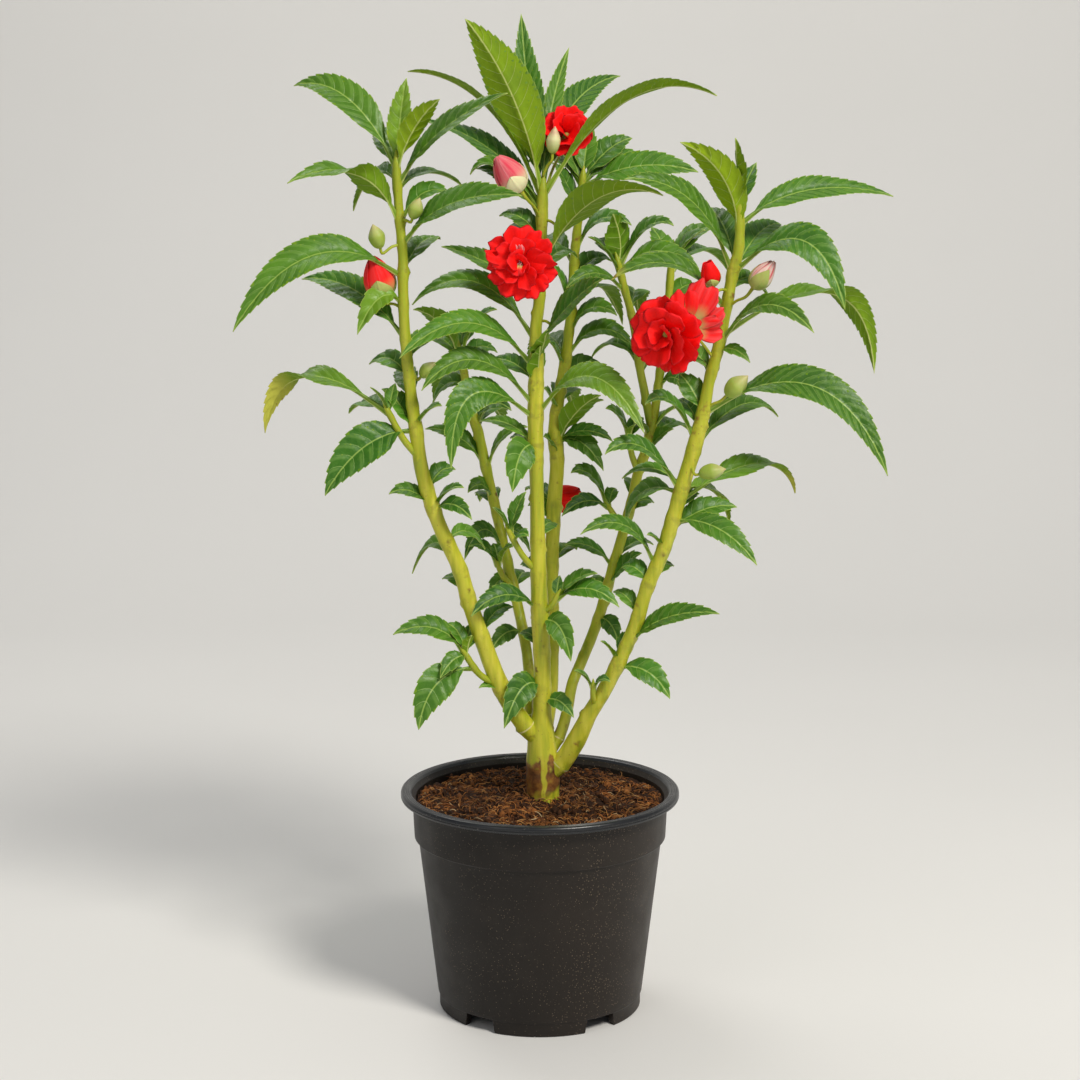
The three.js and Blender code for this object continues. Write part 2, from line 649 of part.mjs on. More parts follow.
function bloomParts(bloom) {
  const centre = new THREE.Vector3(...bloom.centre);
  const face = new THREE.Vector3(...bloom.face).normalize();
  const axisTurn = new THREE.Quaternion().setFromUnitVectors(new THREE.Vector3(0, 0, 1), face);
  const core = new THREE.IcosahedronGeometry(bloom.core, 0);
  core.translate(centre.x, centre.y, centre.z);
  const petals = [solidOf(core)];
  bloom.rings.forEach(([count, length, width, open], ring) => {
    for (let i = 0; i < count; i += 1) {
      const spin = ((i + (ring % 2) / 2) / count) * 2 * Math.PI + ringTurn * ring;
      petals.push(petalSolid(bloom.core, length, width, open, spin, axisTurn, centre));
    }
  });
  const stalkEnd = centre.clone().addScaledVector(face, -bloom.core - gap);
  const route = stalkRoute(bloom.foot, stalkEnd, face);
  const clearance = taperedShaft(route, stalkSides, stalkStep, gap);
  return { petals: joined(petals).subtract(clearance), stalk: taperedShaft(route, stalkSides, stalkStep) };
}

// The pot's outer radius at a height, below the collar and on it
function bodyAt(z) {
  return THREE.MathUtils.mapLinear(z, footStepHeight, collarFootHeight, bodyFootRadius, bodyTopRadius);
}

function collarAt(z) {
  return THREE.MathUtils.mapLinear(z, collarFootHeight, potHeight, collarFootRadius, collarTopRadius);
}

// The pot: turned wall and floor, with notches cut in its foot and drain holes
function potSolid() {
  const lipFoot = potHeight - lipHeight;
  const fillet = floorFillet.map(([inward, rise]) => [bodyAt(floorTop) - wall - inward, floorTop + rise]);
  const profile = [
    [0, footHeight],
    [footRadius - footRingWidth, footHeight],
    [footRadius - footRingWidth + footRingLean, 0],
    [footRadius, 0],
    [footRadius, footStepHeight - footStepEase],
    [bodyFootRadius, footStepHeight],
    [bodyAt(collarFootHeight), collarFootHeight],
    [collarAt(collarFootHeight), collarFootHeight + collarStep],
    [collarAt(lipFoot), lipFoot],
    [lipRadius, lipFoot],
    [lipRadius, potHeight - lipEase],
    [lipRadius - lipEase, potHeight],
    [lipRadius - lipWidth + lipEase, potHeight],
    [lipRadius - lipWidth - lipInnerLean, potHeight - lipEase],
    [collarAt(lipFoot) - wall, lipFoot],
    [collarAt(collarFootHeight) - wall, collarFootHeight + collarStep],
    [bodyAt(collarFootHeight) - wall, collarFootHeight - collarStep],
    ...fillet,
    [0, floorTop],
  ];
  const turned = new THREE.LatheGeometry(profile.map(([r, z]) => new THREE.Vector2(r, z)), potSides);
  turned.rotateX(Math.PI / 2);
  let pot = solidOf(turned);
  for (let i = 0; i < notchCount; i += 1) {
    const angle = (i / notchCount) * 2 * Math.PI;
    const outline = new THREE.Shape();
    const half = notchWidth / 2;
    outline.moveTo(-half, -overCut);
    outline.lineTo(half, -overCut);
    outline.lineTo(half - notchLean, footHeight - notchRoof);
    outline.lineTo(-half + notchLean, footHeight - notchRoof);
    outline.closePath();
    const notch = new THREE.ExtrudeGeometry(outline, { depth: notchDepth, bevelEnabled: false, steps: 1 });
    notch.rotateX(Math.PI / 2);
    notch.translate(0, footRadius + overCut, 0);
    notch.rotateZ(angle);
    pot = pot.subtract(solidOf(notch));
  }
  for (let i = 0; i < drainCount; i += 1) {
    const angle = (i / drainCount + drainTurn) * 2 * Math.PI;
    const drain = new THREE.CylinderGeometry(drainRadius, drainRadius, 2 * floorTop, drainSides);
    drain.rotateX(Math.PI / 2);
    drain.translate(drainCircle * Math.cos(angle), drainCircle * Math.sin(angle), footHeight);
    pot = pot.subtract(solidOf(drain));
  }
  return pot;
}

// The soil: it fills the pot with a thin gap, has an uneven crumbly top and a
// plain hole for the trunk
function soilSolid(trunkWithGap) {
  const outerAt = (z) => (z > collarFootHeight + collarStep ? collarAt(z) : bodyAt(z));
  const innerAt = (z) => outerAt(z) - wall - gap - soilInset;
  const points = [];
  const triangles = [];
  const top = (radius, angle) => {
    const waves = soilWaves.reduce((sum, [share, turns, pitch, phase]) => (
      sum + share * Math.sin(turns * angle + pitch * radius + phase)
    ), 0);
    const ruffle = Math.sin(rufflePitch * radius + ruffleTurns * angle);
    const mound = soilMound * Math.exp(-((radius / moundRadius) ** 2));
    return soilHeight + soilSwell * (soilWave * waves + soilRuffle * ruffle) + mound;
  };
  const filletTop = floorTop + gap + soilFillet;
  const collarClear = 2 * collarStep;
  const rims = [
    [innerAt(filletTop) - 2 * soilFillet, floorTop + gap],
    [innerAt(filletTop) - soilFillet, filletTop],
    [innerAt(collarFootHeight - collarClear), collarFootHeight - collarClear],
    [innerAt(collarFootHeight + collarClear), collarFootHeight + collarClear + soilInset],
  ];
  const ring = (at) => {
    for (let s = 0; s < potSides; s += 1) {
      const angle = (s / potSides) * 2 * Math.PI;
      points.push(at(angle));
    }
  };
  for (const [radius, z] of rims) {
    ring((angle) => new THREE.Vector3(radius * Math.cos(angle), radius * Math.sin(angle), z));
  }
  const topRadius = innerAt(soilHeight);
  for (let i = 0; i < soilRings; i += 1) {
    const radius = topRadius * (1 - i / soilRings);
    ring((angle) => {
      const height = top(radius, angle);
      return new THREE.Vector3(radius * Math.cos(angle), radius * Math.sin(angle), height);
    });
  }
  const rings = rims.length + soilRings;
  for (let i = 0; i < rings - 1; i += 1) {
    for (let s = 0; s < potSides; s += 1) {
      const a = i * potSides + s;
      const b = i * potSides + ((s + 1) % potSides);
      triangles.push([a, b, b + potSides], [a, b + potSides, a + potSides]);
    }
  }
  const foot = points.push(new THREE.Vector3(0, 0, floorTop + gap)) - 1;
  const crown = points.push(new THREE.Vector3(0, 0, top(0, 0))) - 1;
  const inner = (rings - 1) * potSides;
  for (let s = 0; s < potSides; s += 1) {
    const next = (s + 1) % potSides;
    triangles.push([foot, next, s], [crown, inner + s, inner + next]);
  }
  return solidFromFaces(points, triangles).subtract(trunkWithGap);
}

function namedMesh(name, solid, look) {
  const mesh = new THREE.Mesh(geometryOf(solid), new THREE.MeshStandardMaterial(looks[look]));
  mesh.name = name;
  return mesh;
}

const plant = new THREE.Group();
const trunkWithGap = taperedShaft(axes[0].route, stemSides, stemStep, trunkClearance);

const bloomPieces = blooms.map((bloom) => ({ ...bloom, ...bloomParts(bloom) }));

function leafyStem(stem) {
  const pieces = [];
  for (const axis of axes.filter((each) => each.stem === stem)) {
    const thick = axis.route[0][3] > mainStemRadius;
    pieces.push(taperedShaft(axis.route, thick ? stemSides : shootSides, thick ? stemStep : shootStep));
    for (const leaf of axis.leaves) {
      pieces.push(leafSolid(footOn(axis.route, leaf[0]), leaf));
    }
  }
  for (const bud of greenBuds.filter((each) => each.stem === stem)) {
    const tipWay = new THREE.Vector3(...bud.tip).normalize();
    const centre = new THREE.Vector3(...bud.centre);
    pieces.push(eggSolid(centre, tipWay, bud.half));
    pieces.push(taperedShaft(stalkRoute(bud.foot, centre, tipWay), stalkSides, stalkStep));
  }
  for (const bloom of bloomPieces.filter((each) => each.stem === stem)) {
    pieces.push(bloom.stalk);
  }
  const whole = joined(pieces);
  return stem === 'centre' ? whole : whole.subtract(trunkWithGap);
}

plant.add(namedMesh('pot', potSolid(), 'pot'));
plant.add(namedMesh('soil', soilSolid(trunkWithGap), 'soil'));
for (const stem of new Set(axes.map((axis) => axis.stem))) {
  plant.add(namedMesh(`leafy_stem_${stem}`, leafyStem(stem), 'leafyStem'));
}
for (const bloom of bloomPieces) {
  plant.add(namedMesh(bloom.name, bloom.petals, bloom.look));
}

// The finished plant stands with the middle of its bounding box over the origin
const box = new THREE.Box3().setFromObject(plant);
const middle = box.getCenter(new THREE.Vector3());
plant.position.set(-middle.x, -middle.y, 0);

export default plant;
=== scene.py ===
# A potted garden balsam, dressed over its solid frame: a round black nursery pot
# of coir soil, and one many-stemmed plant with lance-shaped, saw-edged leaves and
# double red flowers. Lengths are millimetres, with the pot's axis at x = 0, y = 0
# and the front at -Y. A finished mesh is moved to the frame's place, in metres.
import math
import bmesh
import bpy
import numpy as np
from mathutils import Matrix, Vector, noise


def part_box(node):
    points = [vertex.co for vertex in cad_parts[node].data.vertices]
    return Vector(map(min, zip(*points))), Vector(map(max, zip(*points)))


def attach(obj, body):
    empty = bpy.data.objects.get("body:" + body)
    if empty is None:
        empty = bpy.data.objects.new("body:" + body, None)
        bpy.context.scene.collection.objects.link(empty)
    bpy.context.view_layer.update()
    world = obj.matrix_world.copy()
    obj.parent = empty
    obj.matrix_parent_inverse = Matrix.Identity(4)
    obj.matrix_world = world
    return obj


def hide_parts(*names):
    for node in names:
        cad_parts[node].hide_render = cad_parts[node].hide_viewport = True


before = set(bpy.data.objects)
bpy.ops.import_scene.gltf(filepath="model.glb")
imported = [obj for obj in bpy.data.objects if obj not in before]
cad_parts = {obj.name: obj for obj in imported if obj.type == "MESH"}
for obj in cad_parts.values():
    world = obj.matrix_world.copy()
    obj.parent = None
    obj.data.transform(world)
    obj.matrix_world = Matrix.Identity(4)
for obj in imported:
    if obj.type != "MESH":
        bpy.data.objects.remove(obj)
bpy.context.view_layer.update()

MM = 0.001
ROUND = 2 * math.pi
NO_TONE = (0, 0, 0, 0)
pot_low, pot_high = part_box("pot")
POT_AXIS = (np.array(pot_low) + np.array(pot_high)) / 2 * (1, 1, 0)

# Driving dimensions of the pot
POT_HEIGHT = 120
LIP_RADIUS = 75
LIP_HEIGHT = 4
LIP_WIDTH = 5.5
LIP_GROOVES = (1.3, 2.5, 3.7)
COLLAR_TOP_RADIUS = 69
COLLAR_FOOT_RADIUS = 67.8
COLLAR_FOOT_HEIGHT = 94
BODY_TOP_RADIUS = 65.7
BODY_FOOT_RADIUS = 55.6
FOOT_STEP_HEIGHT = 7.8
FOOT_RADIUS = 54.8
FOOT_HEIGHT = 8.3
FOOT_RING_WIDTH = 5
WALL = 1.7
FLOOR_TOP = 10.3
NOTCHES = 5
NOTCH_WIDTH = 20
NOTCH_LEAN = 1.5
NOTCH_ROOF = 0.8
DRAINS = 5
DRAIN_RADIUS = 4
DRAIN_CIRCLE = 38
DRAIN_TURN = 0.05
# A small nick in the foot's front edge: a triangle of x, with x to the right as seen
# from the pot's middle, and height
NICK = [(3.4, -0.5), (2.0, -0.5), (2.9, 1.5)]
POT_SIDES = 192
SHARP_DEGREES = 32

# Driving dimensions of the soil
SOIL_HEIGHT = 113
SOIL_RADIUS = 66.6
SOIL_DEPTH = 6
SOIL_SIDES = 220
SOIL_RINGS = 86
SOIL_CRUMBS = 2400
SOIL_FIBRES = 2700
# A crumb is an icosahedron with its corners moved about
CRUMB_FACES = [
    (0, 11, 5), (0, 5, 1), (0, 1, 7), (0, 7, 10), (0, 10, 11), (1, 5, 9), (5, 11, 4),
    (11, 10, 2), (10, 7, 6), (7, 1, 8), (3, 9, 4), (3, 4, 2), (3, 2, 6), (3, 6, 8),
    (3, 8, 9), (4, 9, 5), (2, 4, 11), (6, 2, 10), (8, 6, 7), (9, 8, 1),
]

# Driving dimensions of stems, leaves and petals
STEM_SIDES = 20
SHOOT_SIDES = 12
STEM_STEP = 1.6
TRUNK_RADIUS = 9.3
KNOB_GAP = 26
STALK_STEP = 1.2
STALK_RADIUS = 0.75
STALK_TONE = (1, 0, 0, 0.1)
STALK_SHARE = 0.13
STALK_ROWS = 4
STALK_HALF_WIDTH = 0.95
BLADE_FOLD = 16
TURN_EASE = 0.3
BLADE_THICKNESS = 0.42
TOOTH_PITCH = 4.1
TOOTH_DEPTH = 0.66
TOOTH_LEAN = 0.22
BLADE_COLUMNS = 10
SIDE_VEIN_GAP = 6.2
QUILT = 1.05
RIB_GROOVE = 0.35
PETAL_ROWS = 14
PETAL_COLUMNS = 18
PETAL_THICKNESS = 0.3
FURLED_ROWS = 21
FURLED_COLUMNS = 25
FURLED_REACH = 1.5
FURLED_STEP = 2.4
SEPALS = 3
BUD_RINGS = 27
BUD_SIDES = 20
ANTHER_HALF_LENGTH = 0.95

# The trunk's tone says its height above the soil line, and a side stem's tone how
# far along it the seam with the trunk is, both over these spans. The trunk is rough
# up to the bark's top, and swollen at two heights, each with its width and amount.
# The green stripe in its brown skin is at a place in metres to the right.
BARK_FOOT = 105
BARK_SPAN = 40
BARK_TOP = 141
SEAM_SPAN = 12
TRUNK_SWELLINGS = ((134, 4, 0.5), (151, 5, 0.35))
STRIPE_AT = -0.0093

PLANT_SEED = 7
SOIL_SEED = 19

# How young most leaves look on average, from 0 to 1, and the leaves with a look of
# their own, by the height of the foot and the reach to the right: how young, and how
# much of the end is yellow
DARK_LEAF = 0.12
LEAF_LOOKS = {
    (437, -39): (0.6, 0), (435, -70): (0.75, 0), (436, 87): (0.45, 0), (402, 61): (0.5, 0),
    (358, 33): (0, 0), (323, 55): (0.55, 0), (450, 23): (0.9, 0), (450, 5): (0.9, 0),
    (423, -54): (0.3, 0), (382, -23): (0.6, 0), (326, -66): (0.4, 0.5), (317, -46): (0, 0),
    (412, -31): (1, 0), (430, -3): (0.6, 0), (366, 83): (0.4, 0), (380, -59): (0.2, 0.16),
    (280, 63): (0.35, 0.3), (286, 28): (0.75, 0), (398, 53): (0.05, 0),
}

# Leaves that roll over along their length: turn of the upper face to the front
# near the stem, and how much further it turns by the tip
LEAF_ROLLS = {(326, -66): (20, -80), (366, 83): (10, -70), (423, -54): (-60, 95), (280, 63): (25, -45)}

# The camera, in millimetres from the pot's axis and degrees down, and the lights:
# name, place and size in metres, power in watts, colour
CAMERA_BACK = 1175.9
CAMERA_HEIGHT = 452.2
CAMERA_PITCH = 9.4926
LENS = 75
SENSOR = 36
LIGHT_AIM = 0.27
LIGHTS = [
    ("key", (1.05, -1.4, 1.9), 0.7, 46, (1.0, 0.96, 0.88)),
    ("fill", (-1.1, -1.6, 1.2), 1.2, 3.5, (1.0, 0.97, 0.93)),
    ("rim", (-0.5, 0.85, 1.7), 0.9, 7, (1.0, 0.98, 0.94)),
]
AIR_STRENGTH = 0.27
AIR_TINT = (0.93, 0.96, 1.0, 1.0)
# The studio floor and backdrop: half width, front end, where it starts to curve up,
# how roundly, and its top, in metres
FLOOR_HALF_WIDTH = 4.0
FLOOR_FRONT = -2.2
FLOOR_BACK = 1.0
COVE_RADIUS = 0.6
BACKDROP_TOP = 3.0

# Every growing axis: the stem that it belongs to, its route as points of x, y, z
# and radius, and its leaves. A leaf row holds: height of its foot on the axis; the
# reach of its tip right, back and up from there; how far along and how high its
# arch is drawn; blade width; turn of the upper face to the front.
AXES = [
    ("centre", [
        (1.5, 0, 79, 5.5), (1.7, 0, 100, 7.5), (1.6, 0, 114, 8.6), (1.6, 0, 126, 9), (1, 0, 140, 8),
        (0.5, 0, 151, 6.8), (0.8, -1, 162, 5.2), (1.3, -3, 185, 4.5), (0, -6, 219, 4.7),
        (-1, -8, 250, 4), (-1.6, -10, 285, 3.6), (-2.2, -11, 310, 4), (-2.1, -12, 335, 4),
        (-1.6, -12, 353, 3.4), (-2.1, -12, 368, 3.1), (-0.5, -11, 381, 3), (0.6, -9, 405, 2.8),
        (1, -8, 428, 2.9), (1.5, -8, 440, 2.2),
    ], [
        (437, -39, -12, 87, 0.28, 55, 24, -60), (436, -11, 12, 92, 0.7, 42, 15, 20),
        (438, 14, 46, 75, 0.05, 40, 8, 10), (436, 87, -26, 50, 0.48, 72, 18, -10),
        (435, -70, 26, 65, 0.36, 64, 16, -10), (431, -64, 24, 44, 0.36, 36, 15, 15),
        (427, -37, -3, 20, 0.68, 38, 10, 15), (436, 42, 66, 63, 0.15, 55, 15, 20),
        (402, 61, -34, 35, 0.42, 49, 25, -20), (358, 33, -38, 38, 0.45, 26, 19, 45),
        (323, 55, -36, -5, 0.52, 47, 17, 30), (362, -65, 12, 18, 0.48, 51, 15, 25),
        (347, -69, -34, 9, 0.46, 46, 15, 30), (385, -51, 16, 25, 0.45, 18, 14, 15),
        (328, -58, -28, 11, 0.55, 45, 15, 30), (322, -43, -30, -23, 1, 40, 16, 45),
        (307, -30, 10, 12, 0.45, 16, 7, 20), (340, -24, 16, 11, 0.5, 14, 9, 20),
        (307, -12, -16, -22, 0.8, 6, 15, 45), (219, -36, -22, 1, 0.5, 20, 11, 25),
        (238, -10, 9, 4, 0.4, 10, 7, 20), (212, 16, -14, -18, 0.7, 9, 11, 45),
        (168, 17, -11, -6, 0.55, 7, 8, 35), (176, -20, -18, -18, 0.55, 13, 14, 40),
        (353, 5, -12, 16, 0.5, 5, 11, 10), (338, 2, -9, 22, 0.3, 14, 11, 20),
        (300, -14, 12, 10, 0.4, 16, 10, 10), (256, 10, 14, 6, 0.4, 14, 9, 10),
        (392, 20, 16, 12, 0.4, 24, 11, 10), (405, -18, 14, 14, 0.4, 22, 10, 10),
        (196, -12, 10, 8, 0.4, 12, 8, 10), (424, -34, 10, 26, 0.4, 26, 13, 20),
        (412, -22, 8, 14, 0.4, 18, 11, 20),
    ]),
    ("centre", [
        (-0.8, -7, 239, 1.8), (-9, -11, 249, 1.7), (-16, -14, 262, 1.4),
    ], [
        (261, -9, -4, 15, 0.3, 10, 7, 10), (261, 8, 4, 22, 0.3, 14, 8, 10),
        (258, 8, -7, 3, 0.5, 6, 6, 20),
    ]),
    ("centre", [
        (0, -6, 217, 1.8), (6, -10, 222, 1.6), (9, -12, 228, 1.3),
    ], [
        (226, 22, -6, 15, 0.45, 14, 9, 20), (225, 34, -12, -1, 0.5, 16, 10, 30),
        (227, 2, 4, 11, 0.3, 6, 5, 0),
    ]),
    ("centre_back", [
        (0, 2, 138, 3.6), (2.5, 10, 147, 3.8), (6, 18, 166, 3.4), (6.8, 24, 200, 3.4),
        (6.5, 30, 231, 3.5), (7.4, 36, 266, 4), (9.3, 40, 292, 3.9), (8.2, 42, 309, 3.9),
        (10.9, 44, 331, 3), (13.6, 45, 345, 3), (16.8, 47, 374, 2.5), (18.4, 48, 400, 2.4),
        (21.5, 48, 430, 2.1), (23, 48, 445, 1.8),
    ], [
        (440, 62, -8, 8, 0.45, 18, 17, 40), (443, 27, 8, 23, 0.45, 20, 13, 30),
        (442, 36, 14, 14, 0.5, 16, 14, 35), (441, -14, 12, 30, 0.4, 18, 11, 0),
        (445, 4, 12, 28, 0.4, 16, 10, 0), (441, -30, 18, 12, 0.45, 22, 12, 0),
        (303, 24, -14, 27, 0.45, 22, 14, -30), (303, 31, -6, 1, 0.5, 12, 9, 20),
        (414, 10, 58, 4, 0.5, 34, 16, 0), (398, -30, 46, -4, 0.5, 30, 15, 0),
        (375, 30, 50, -12, 0.55, 28, 16, 0), (347, -20, 52, -14, 0.55, 28, 15, 0),
        (318, 10, 50, -4, 0.5, 26, 14, 0), (268, -16, 22, 6, 0.5, 14, 9, 0),
        (236, 14, 20, 6, 0.5, 14, 9, 0), (301, 26, 12, 24, 0.4, 22, 11, -20),
        (258, -14, 6, 10, 0.4, 16, 9, 20), (214, -12, 8, -8, 0.6, 10, 9, 20),
        (362, 26, -10, 10, 0.4, 22, 12, 20), (386, 22, 14, 14, 0.4, 22, 12, 10),
        (408, 30, -6, 12, 0.4, 24, 12, 15), (192, 8, 12, 9, 0.4, 12, 8, 10),
        (334, 26, 8, 4, 0.4, 20, 11, 20), (425, -14, -4, 28, 0.4, 18, 13, 30),
        (372, -9, -6, 26, 0.4, 20, 12, 30), (342, -8, -5, 16, 0.4, 12, 9, 20),
        (318, -7, -6, 15, 0.4, 12, 9, 20), (294, -7, -6, 13, 0.4, 12, 9, 20),
        (350, 37, -5, 4, 0.5, 26, 13, 20), (302, 26, -7, -14, 0.5, 10, 12, 30),
    ]),
    ("left", [
        (0, 0, 146, 4.4), (-7, -3, 154, 4.9), (-20, -8, 176, 4.8), (-30.6, -13, 205, 4.4),
        (-36.8, -16, 224, 4.1), (-42.4, -18, 244, 4), (-52.5, -20, 267, 3.8), (-61, -22, 295, 3.7),
        (-63.9, -23, 317, 3.4), (-66.2, -24, 335, 3), (-68.3, -25, 357, 2.8), (-69.4, -25, 375, 2.7),
        (-69.7, -25, 390, 2.7), (-69.8, -24, 407, 2.5), (-71.1, -23, 423, 2.4), (-72.4, -22, 444, 2.2),
        (-72.6, -22, 453, 1.8),
    ], [
        (450, -54, 24, 42, 0.43, 49, 18, 30), (450, 5, 5, 45, 0.2, 24, 10, 20),
        (450, 23, -20, 34, 0.35, 24, 11, -20), (442, 56, -20, 45, 0.3, 30, 17, 30),
        (423, -54, -26, 20, 0.3, 39, 15, 15), (444, -26, 40, -16, 0.55, 14, 13, 20),
        (447, -12, 36, 22, 0.4, 24, 12, 10), (440, 32, 32, 1, 0.45, 16, 10, 0),
        (412, 61, -34, 25, 0.32, 28, 20, 30), (396, -83, -32, -26, 0.56, 35, 21, 32),
        (364, -56, 32, 29, 0.45, 33, 16, 25), (382, -23, -11, -15, 0.5, 14, 11, 30),
        (398, 18, 30, 16, 0.45, 20, 11, 0), (330, -8, 30, 16, 0.45, 18, 10, 10),
        (317, -46, -16, -32, 0.62, 1, 21, 45), (319, 14, -11, 12, 0.45, 12, 8, 10),
        (276, -23, -4, 8, 0.5, 14, 9, 20), (276, 16, -8, 12, 0.4, 13, 8, 10),
        (275, 20, -14, -3, 0.5, 9, 8, 30), (243, -26, 16, -5, 0.5, 28, 9, 20),
        (206, 17, 6, 15, 0.3, 17, 9, 10), (177, -12, -7, 2, 0.5, 4, 5, 20),
        (285, 14, 10, 10, 0.4, 14, 9, 20), (258, 20, 12, -6, 0.5, 12, 9, 20),
        (228, -14, 10, 8, 0.4, 14, 8, 10), (342, -22, 14, 8, 0.4, 18, 10, 20),
        (352, 18, 16, 12, 0.4, 18, 10, 10), (314, -18, 4, 24, 0.4, 18, 12, 20),
        (424, 26, 8, 12, 0.5, 22, 11, 20),
    ]),
    ("left", [
        (-61.3, -22, 301, 1.9), (-70, -25, 312, 1.8), (-78, -27, 327, 1.5),
    ], [
        (326, -66, 16, -12, 0.86, 42, 15, 25), (325, -24, 30, -2, 0.5, 12, 11, 10),
        (326, -9, -4, 14, 0.3, 9, 6, 0), (326, 3, 6, 15, 0.3, 9, 6, 0),
    ]),
    ("left", [
        (-21, -8, 178, 1.9), (-32, -14, 186, 1.8), (-39.5, -18, 198, 1.5),
    ], [
        (197, -38, -8, 13, 0.35, 24, 13, 25), (190, -29, -16, -30, 0.85, 2, 17, 45),
        (196, -14, -11, -9, 0.5, 4, 8, 30), (197, -11, 5, 16, 0.3, 16, 8, 10),
        (197, 3, -5, 12, 0.3, 8, 6, 0), (198, 3, 11, 14, 0.5, 8, 8, 0),
    ]),
    ("left_back", [
        (-1, 1, 147, 2.9), (-5, 8, 158, 3), (-6, 14, 180, 2.9), (-7.6, 20, 193, 2.9),
        (-10.9, 26, 209, 2.9), (-16.4, 34, 232, 2.8), (-20.8, 38, 250, 2.8), (-24.6, 42, 267, 2.7),
        (-29.6, 46, 288, 2.8), (-33.4, 48, 306, 2.6), (-36.1, 49, 314, 2.6), (-41, 51, 337, 2.3),
        (-44, 52, 352, 1.9),
    ], [
        (349, -25, -10, 26, 0.35, 24, 14, -30), (348, 20, 10, 2, 0.5, 10, 9, 20),
        (349, 20, -8, 26, 0.3, 24, 11, 10), (351, 3, 20, 22, 0.5, 14, 11, 0),
        (344, -22, 16, 12, 0.45, 20, 12, 0), (290, -33, 6, 19, 0.4, 20, 11, 20),
        (288, 23, -10, 24, 0.3, 22, 10, 20), (238, -23, -14, 3, 0.55, 36, 9, 30),
        (201, -17, -16, -7, 0.6, 6, 8, 35), (326, -22, 46, -6, 0.5, 26, 14, 0),
        (308, 14, 44, -2, 0.5, 24, 13, 0), (264, -10, 28, 2, 0.5, 18, 11, 0),
        (222, 8, 22, 4, 0.5, 14, 9, 0), (330, -20, 8, -8, 0.5, 12, 10, 25),
        (312, 20, -6, 8, 0.4, 18, 10, 20), (270, -14, -8, 6, 0.4, 16, 9, 25),
        (252, 16, 4, -10, 0.5, 8, 9, 25), (226, -13, -4, -6, 0.5, 8, 8, 20),
    ]),
    ("right", [
        (2, 0, 126, 4.8), (11, -2, 134, 5.2), (19.3, -6, 148, 5.2), (26.1, -10, 163, 4.2),
        (33.4, -13, 176, 4), (40.1, -16, 190, 3.8), (45.7, -18, 203, 3.6), (51.3, -20, 218, 3.7),
        (55.8, -22, 234, 3.6), (63.9, -24, 254, 3.7), (69.3, -26, 273, 3.7), (74.2, -27, 291, 3.8),
        (78.6, -28, 306, 3.9), (83.9, -29, 328, 3.3), (86.3, -29, 342, 2.9), (91.2, -29, 361, 2.9),
        (94.5, -29, 379, 2.8), (97.9, -28, 398, 2.9), (100.7, -28, 410, 2.6), (101, -27, 434, 2),
    ], [
        (412, -31, -10, 51, 0, 39, 16, -45), (430, -3, -8, 35, 0.3, 18, 11, 40),
        (430, 9, 10, 23, 0.2, 12, 8, 0), (422, 81, 22, 14, 0.38, 27, 15, 30),
        (398, 53, -32, -17, 0.72, 42, 19, 35), (396, 29, 42, 25, 0.5, 28, 14, 10),
        (398, -56, -20, 47, 0.3, 49, 19, 35), (402, -12, 30, 28, 0.35, 24, 12, 10),
        (366, 83, 30, -22, 0.92, 52, 16, 15), (362, 44, -34, 8, 0.46, 37, 12, 25),
        (380, -59, -12, 15, 0.46, 37, 13, 20), (326, 91, -30, -28, 0.68, 46, 20, 34),
        (358, 16, -9, -5, 0.5, 5, 6, 30), (307, 47, 32, 14, 0.58, 36, 13, 15),
        (312, -27, -12, 20, 0.5, 32, 10, 20), (286, -40, -16, 21, 0.55, 37, 11, 25),
        (285, -28, 18, -24, 0.9, 8, 14, 30), (288, -31, 10, 3, 0.5, 16, 7, 20),
        (280, 63, 18, 2, 0.84, 36, 15, 30), (286, 28, 30, -23, 0.8, 6, 13, 15),
        (270, 42, -24, -19, 0.56, 6, 12, 30), (246, -40, -14, 19, 0.36, 35, 11, 25),
        (255, -9, -8, 9, 0.4, 8, 6, 10), (202, 47, -22, 22, 0.36, 23, 13, 25),
        (190, 28, -12, -14, 0.64, 6, 11, 35), (192, -9, -6, 14, 0.3, 10, 7, 0),
        (195, 6, 8, 14, 0.3, 10, 7, 0), (318, -10, 14, 14, 0.4, 14, 9, 0),
        (272, 14, 14, 10, 0.4, 16, 10, 10), (236, 14, 10, 8, 0.4, 14, 9, 10),
        (346, -20, 14, 8, 0.4, 18, 11, 15), (386, 24, 20, -4, 0.4, 20, 12, 20),
        (218, -13, 8, 12, 0.4, 14, 8, 10), (264, 36, 8, 12, 0.5, 16, 12, 30),
        (236, -14, 5, 8, 0.45, 12, 10, 20), (326, -12, 9, 20, 0.4, 14, 11, 20),
    ]),
    ("right", [
        (29, -12, 169, 1.6), (28, -17, 174, 1.5), (28, -19, 181, 1.2),
    ], [
        (180, -10, -3, 10, 0.4, 8, 6, 0), (180, 9, -4, 4, 0.4, 7, 6, 10),
    ]),
    ("right_back", [
        (3, 1, 136, 3), (10.5, 4.5, 148, 3.2), (14.5, 8, 160, 3), (17.4, 14, 174, 3),
        (22.4, 20, 185, 3), (27.6, 27, 196, 3), (32.3, 31, 208, 3), (36.7, 35, 223, 2.9),
        (43.9, 41, 247, 2.8), (50.5, 45, 270, 2.8), (53.8, 48, 285, 2.8), (59.2, 50, 300, 2.9),
        (61.4, 52, 311, 2.8), (63.1, 54, 319, 2.5), (65.4, 58, 335, 2.3), (68.5, 62, 360, 2.2),
        (70.8, 64, 382, 2.1), (71.8, 64, 397, 1.8),
    ], [
        (235, -27, -8, 13, 0.45, 16, 9, 20), (207, 11, -10, -12, 0.6, 3, 8, 30),
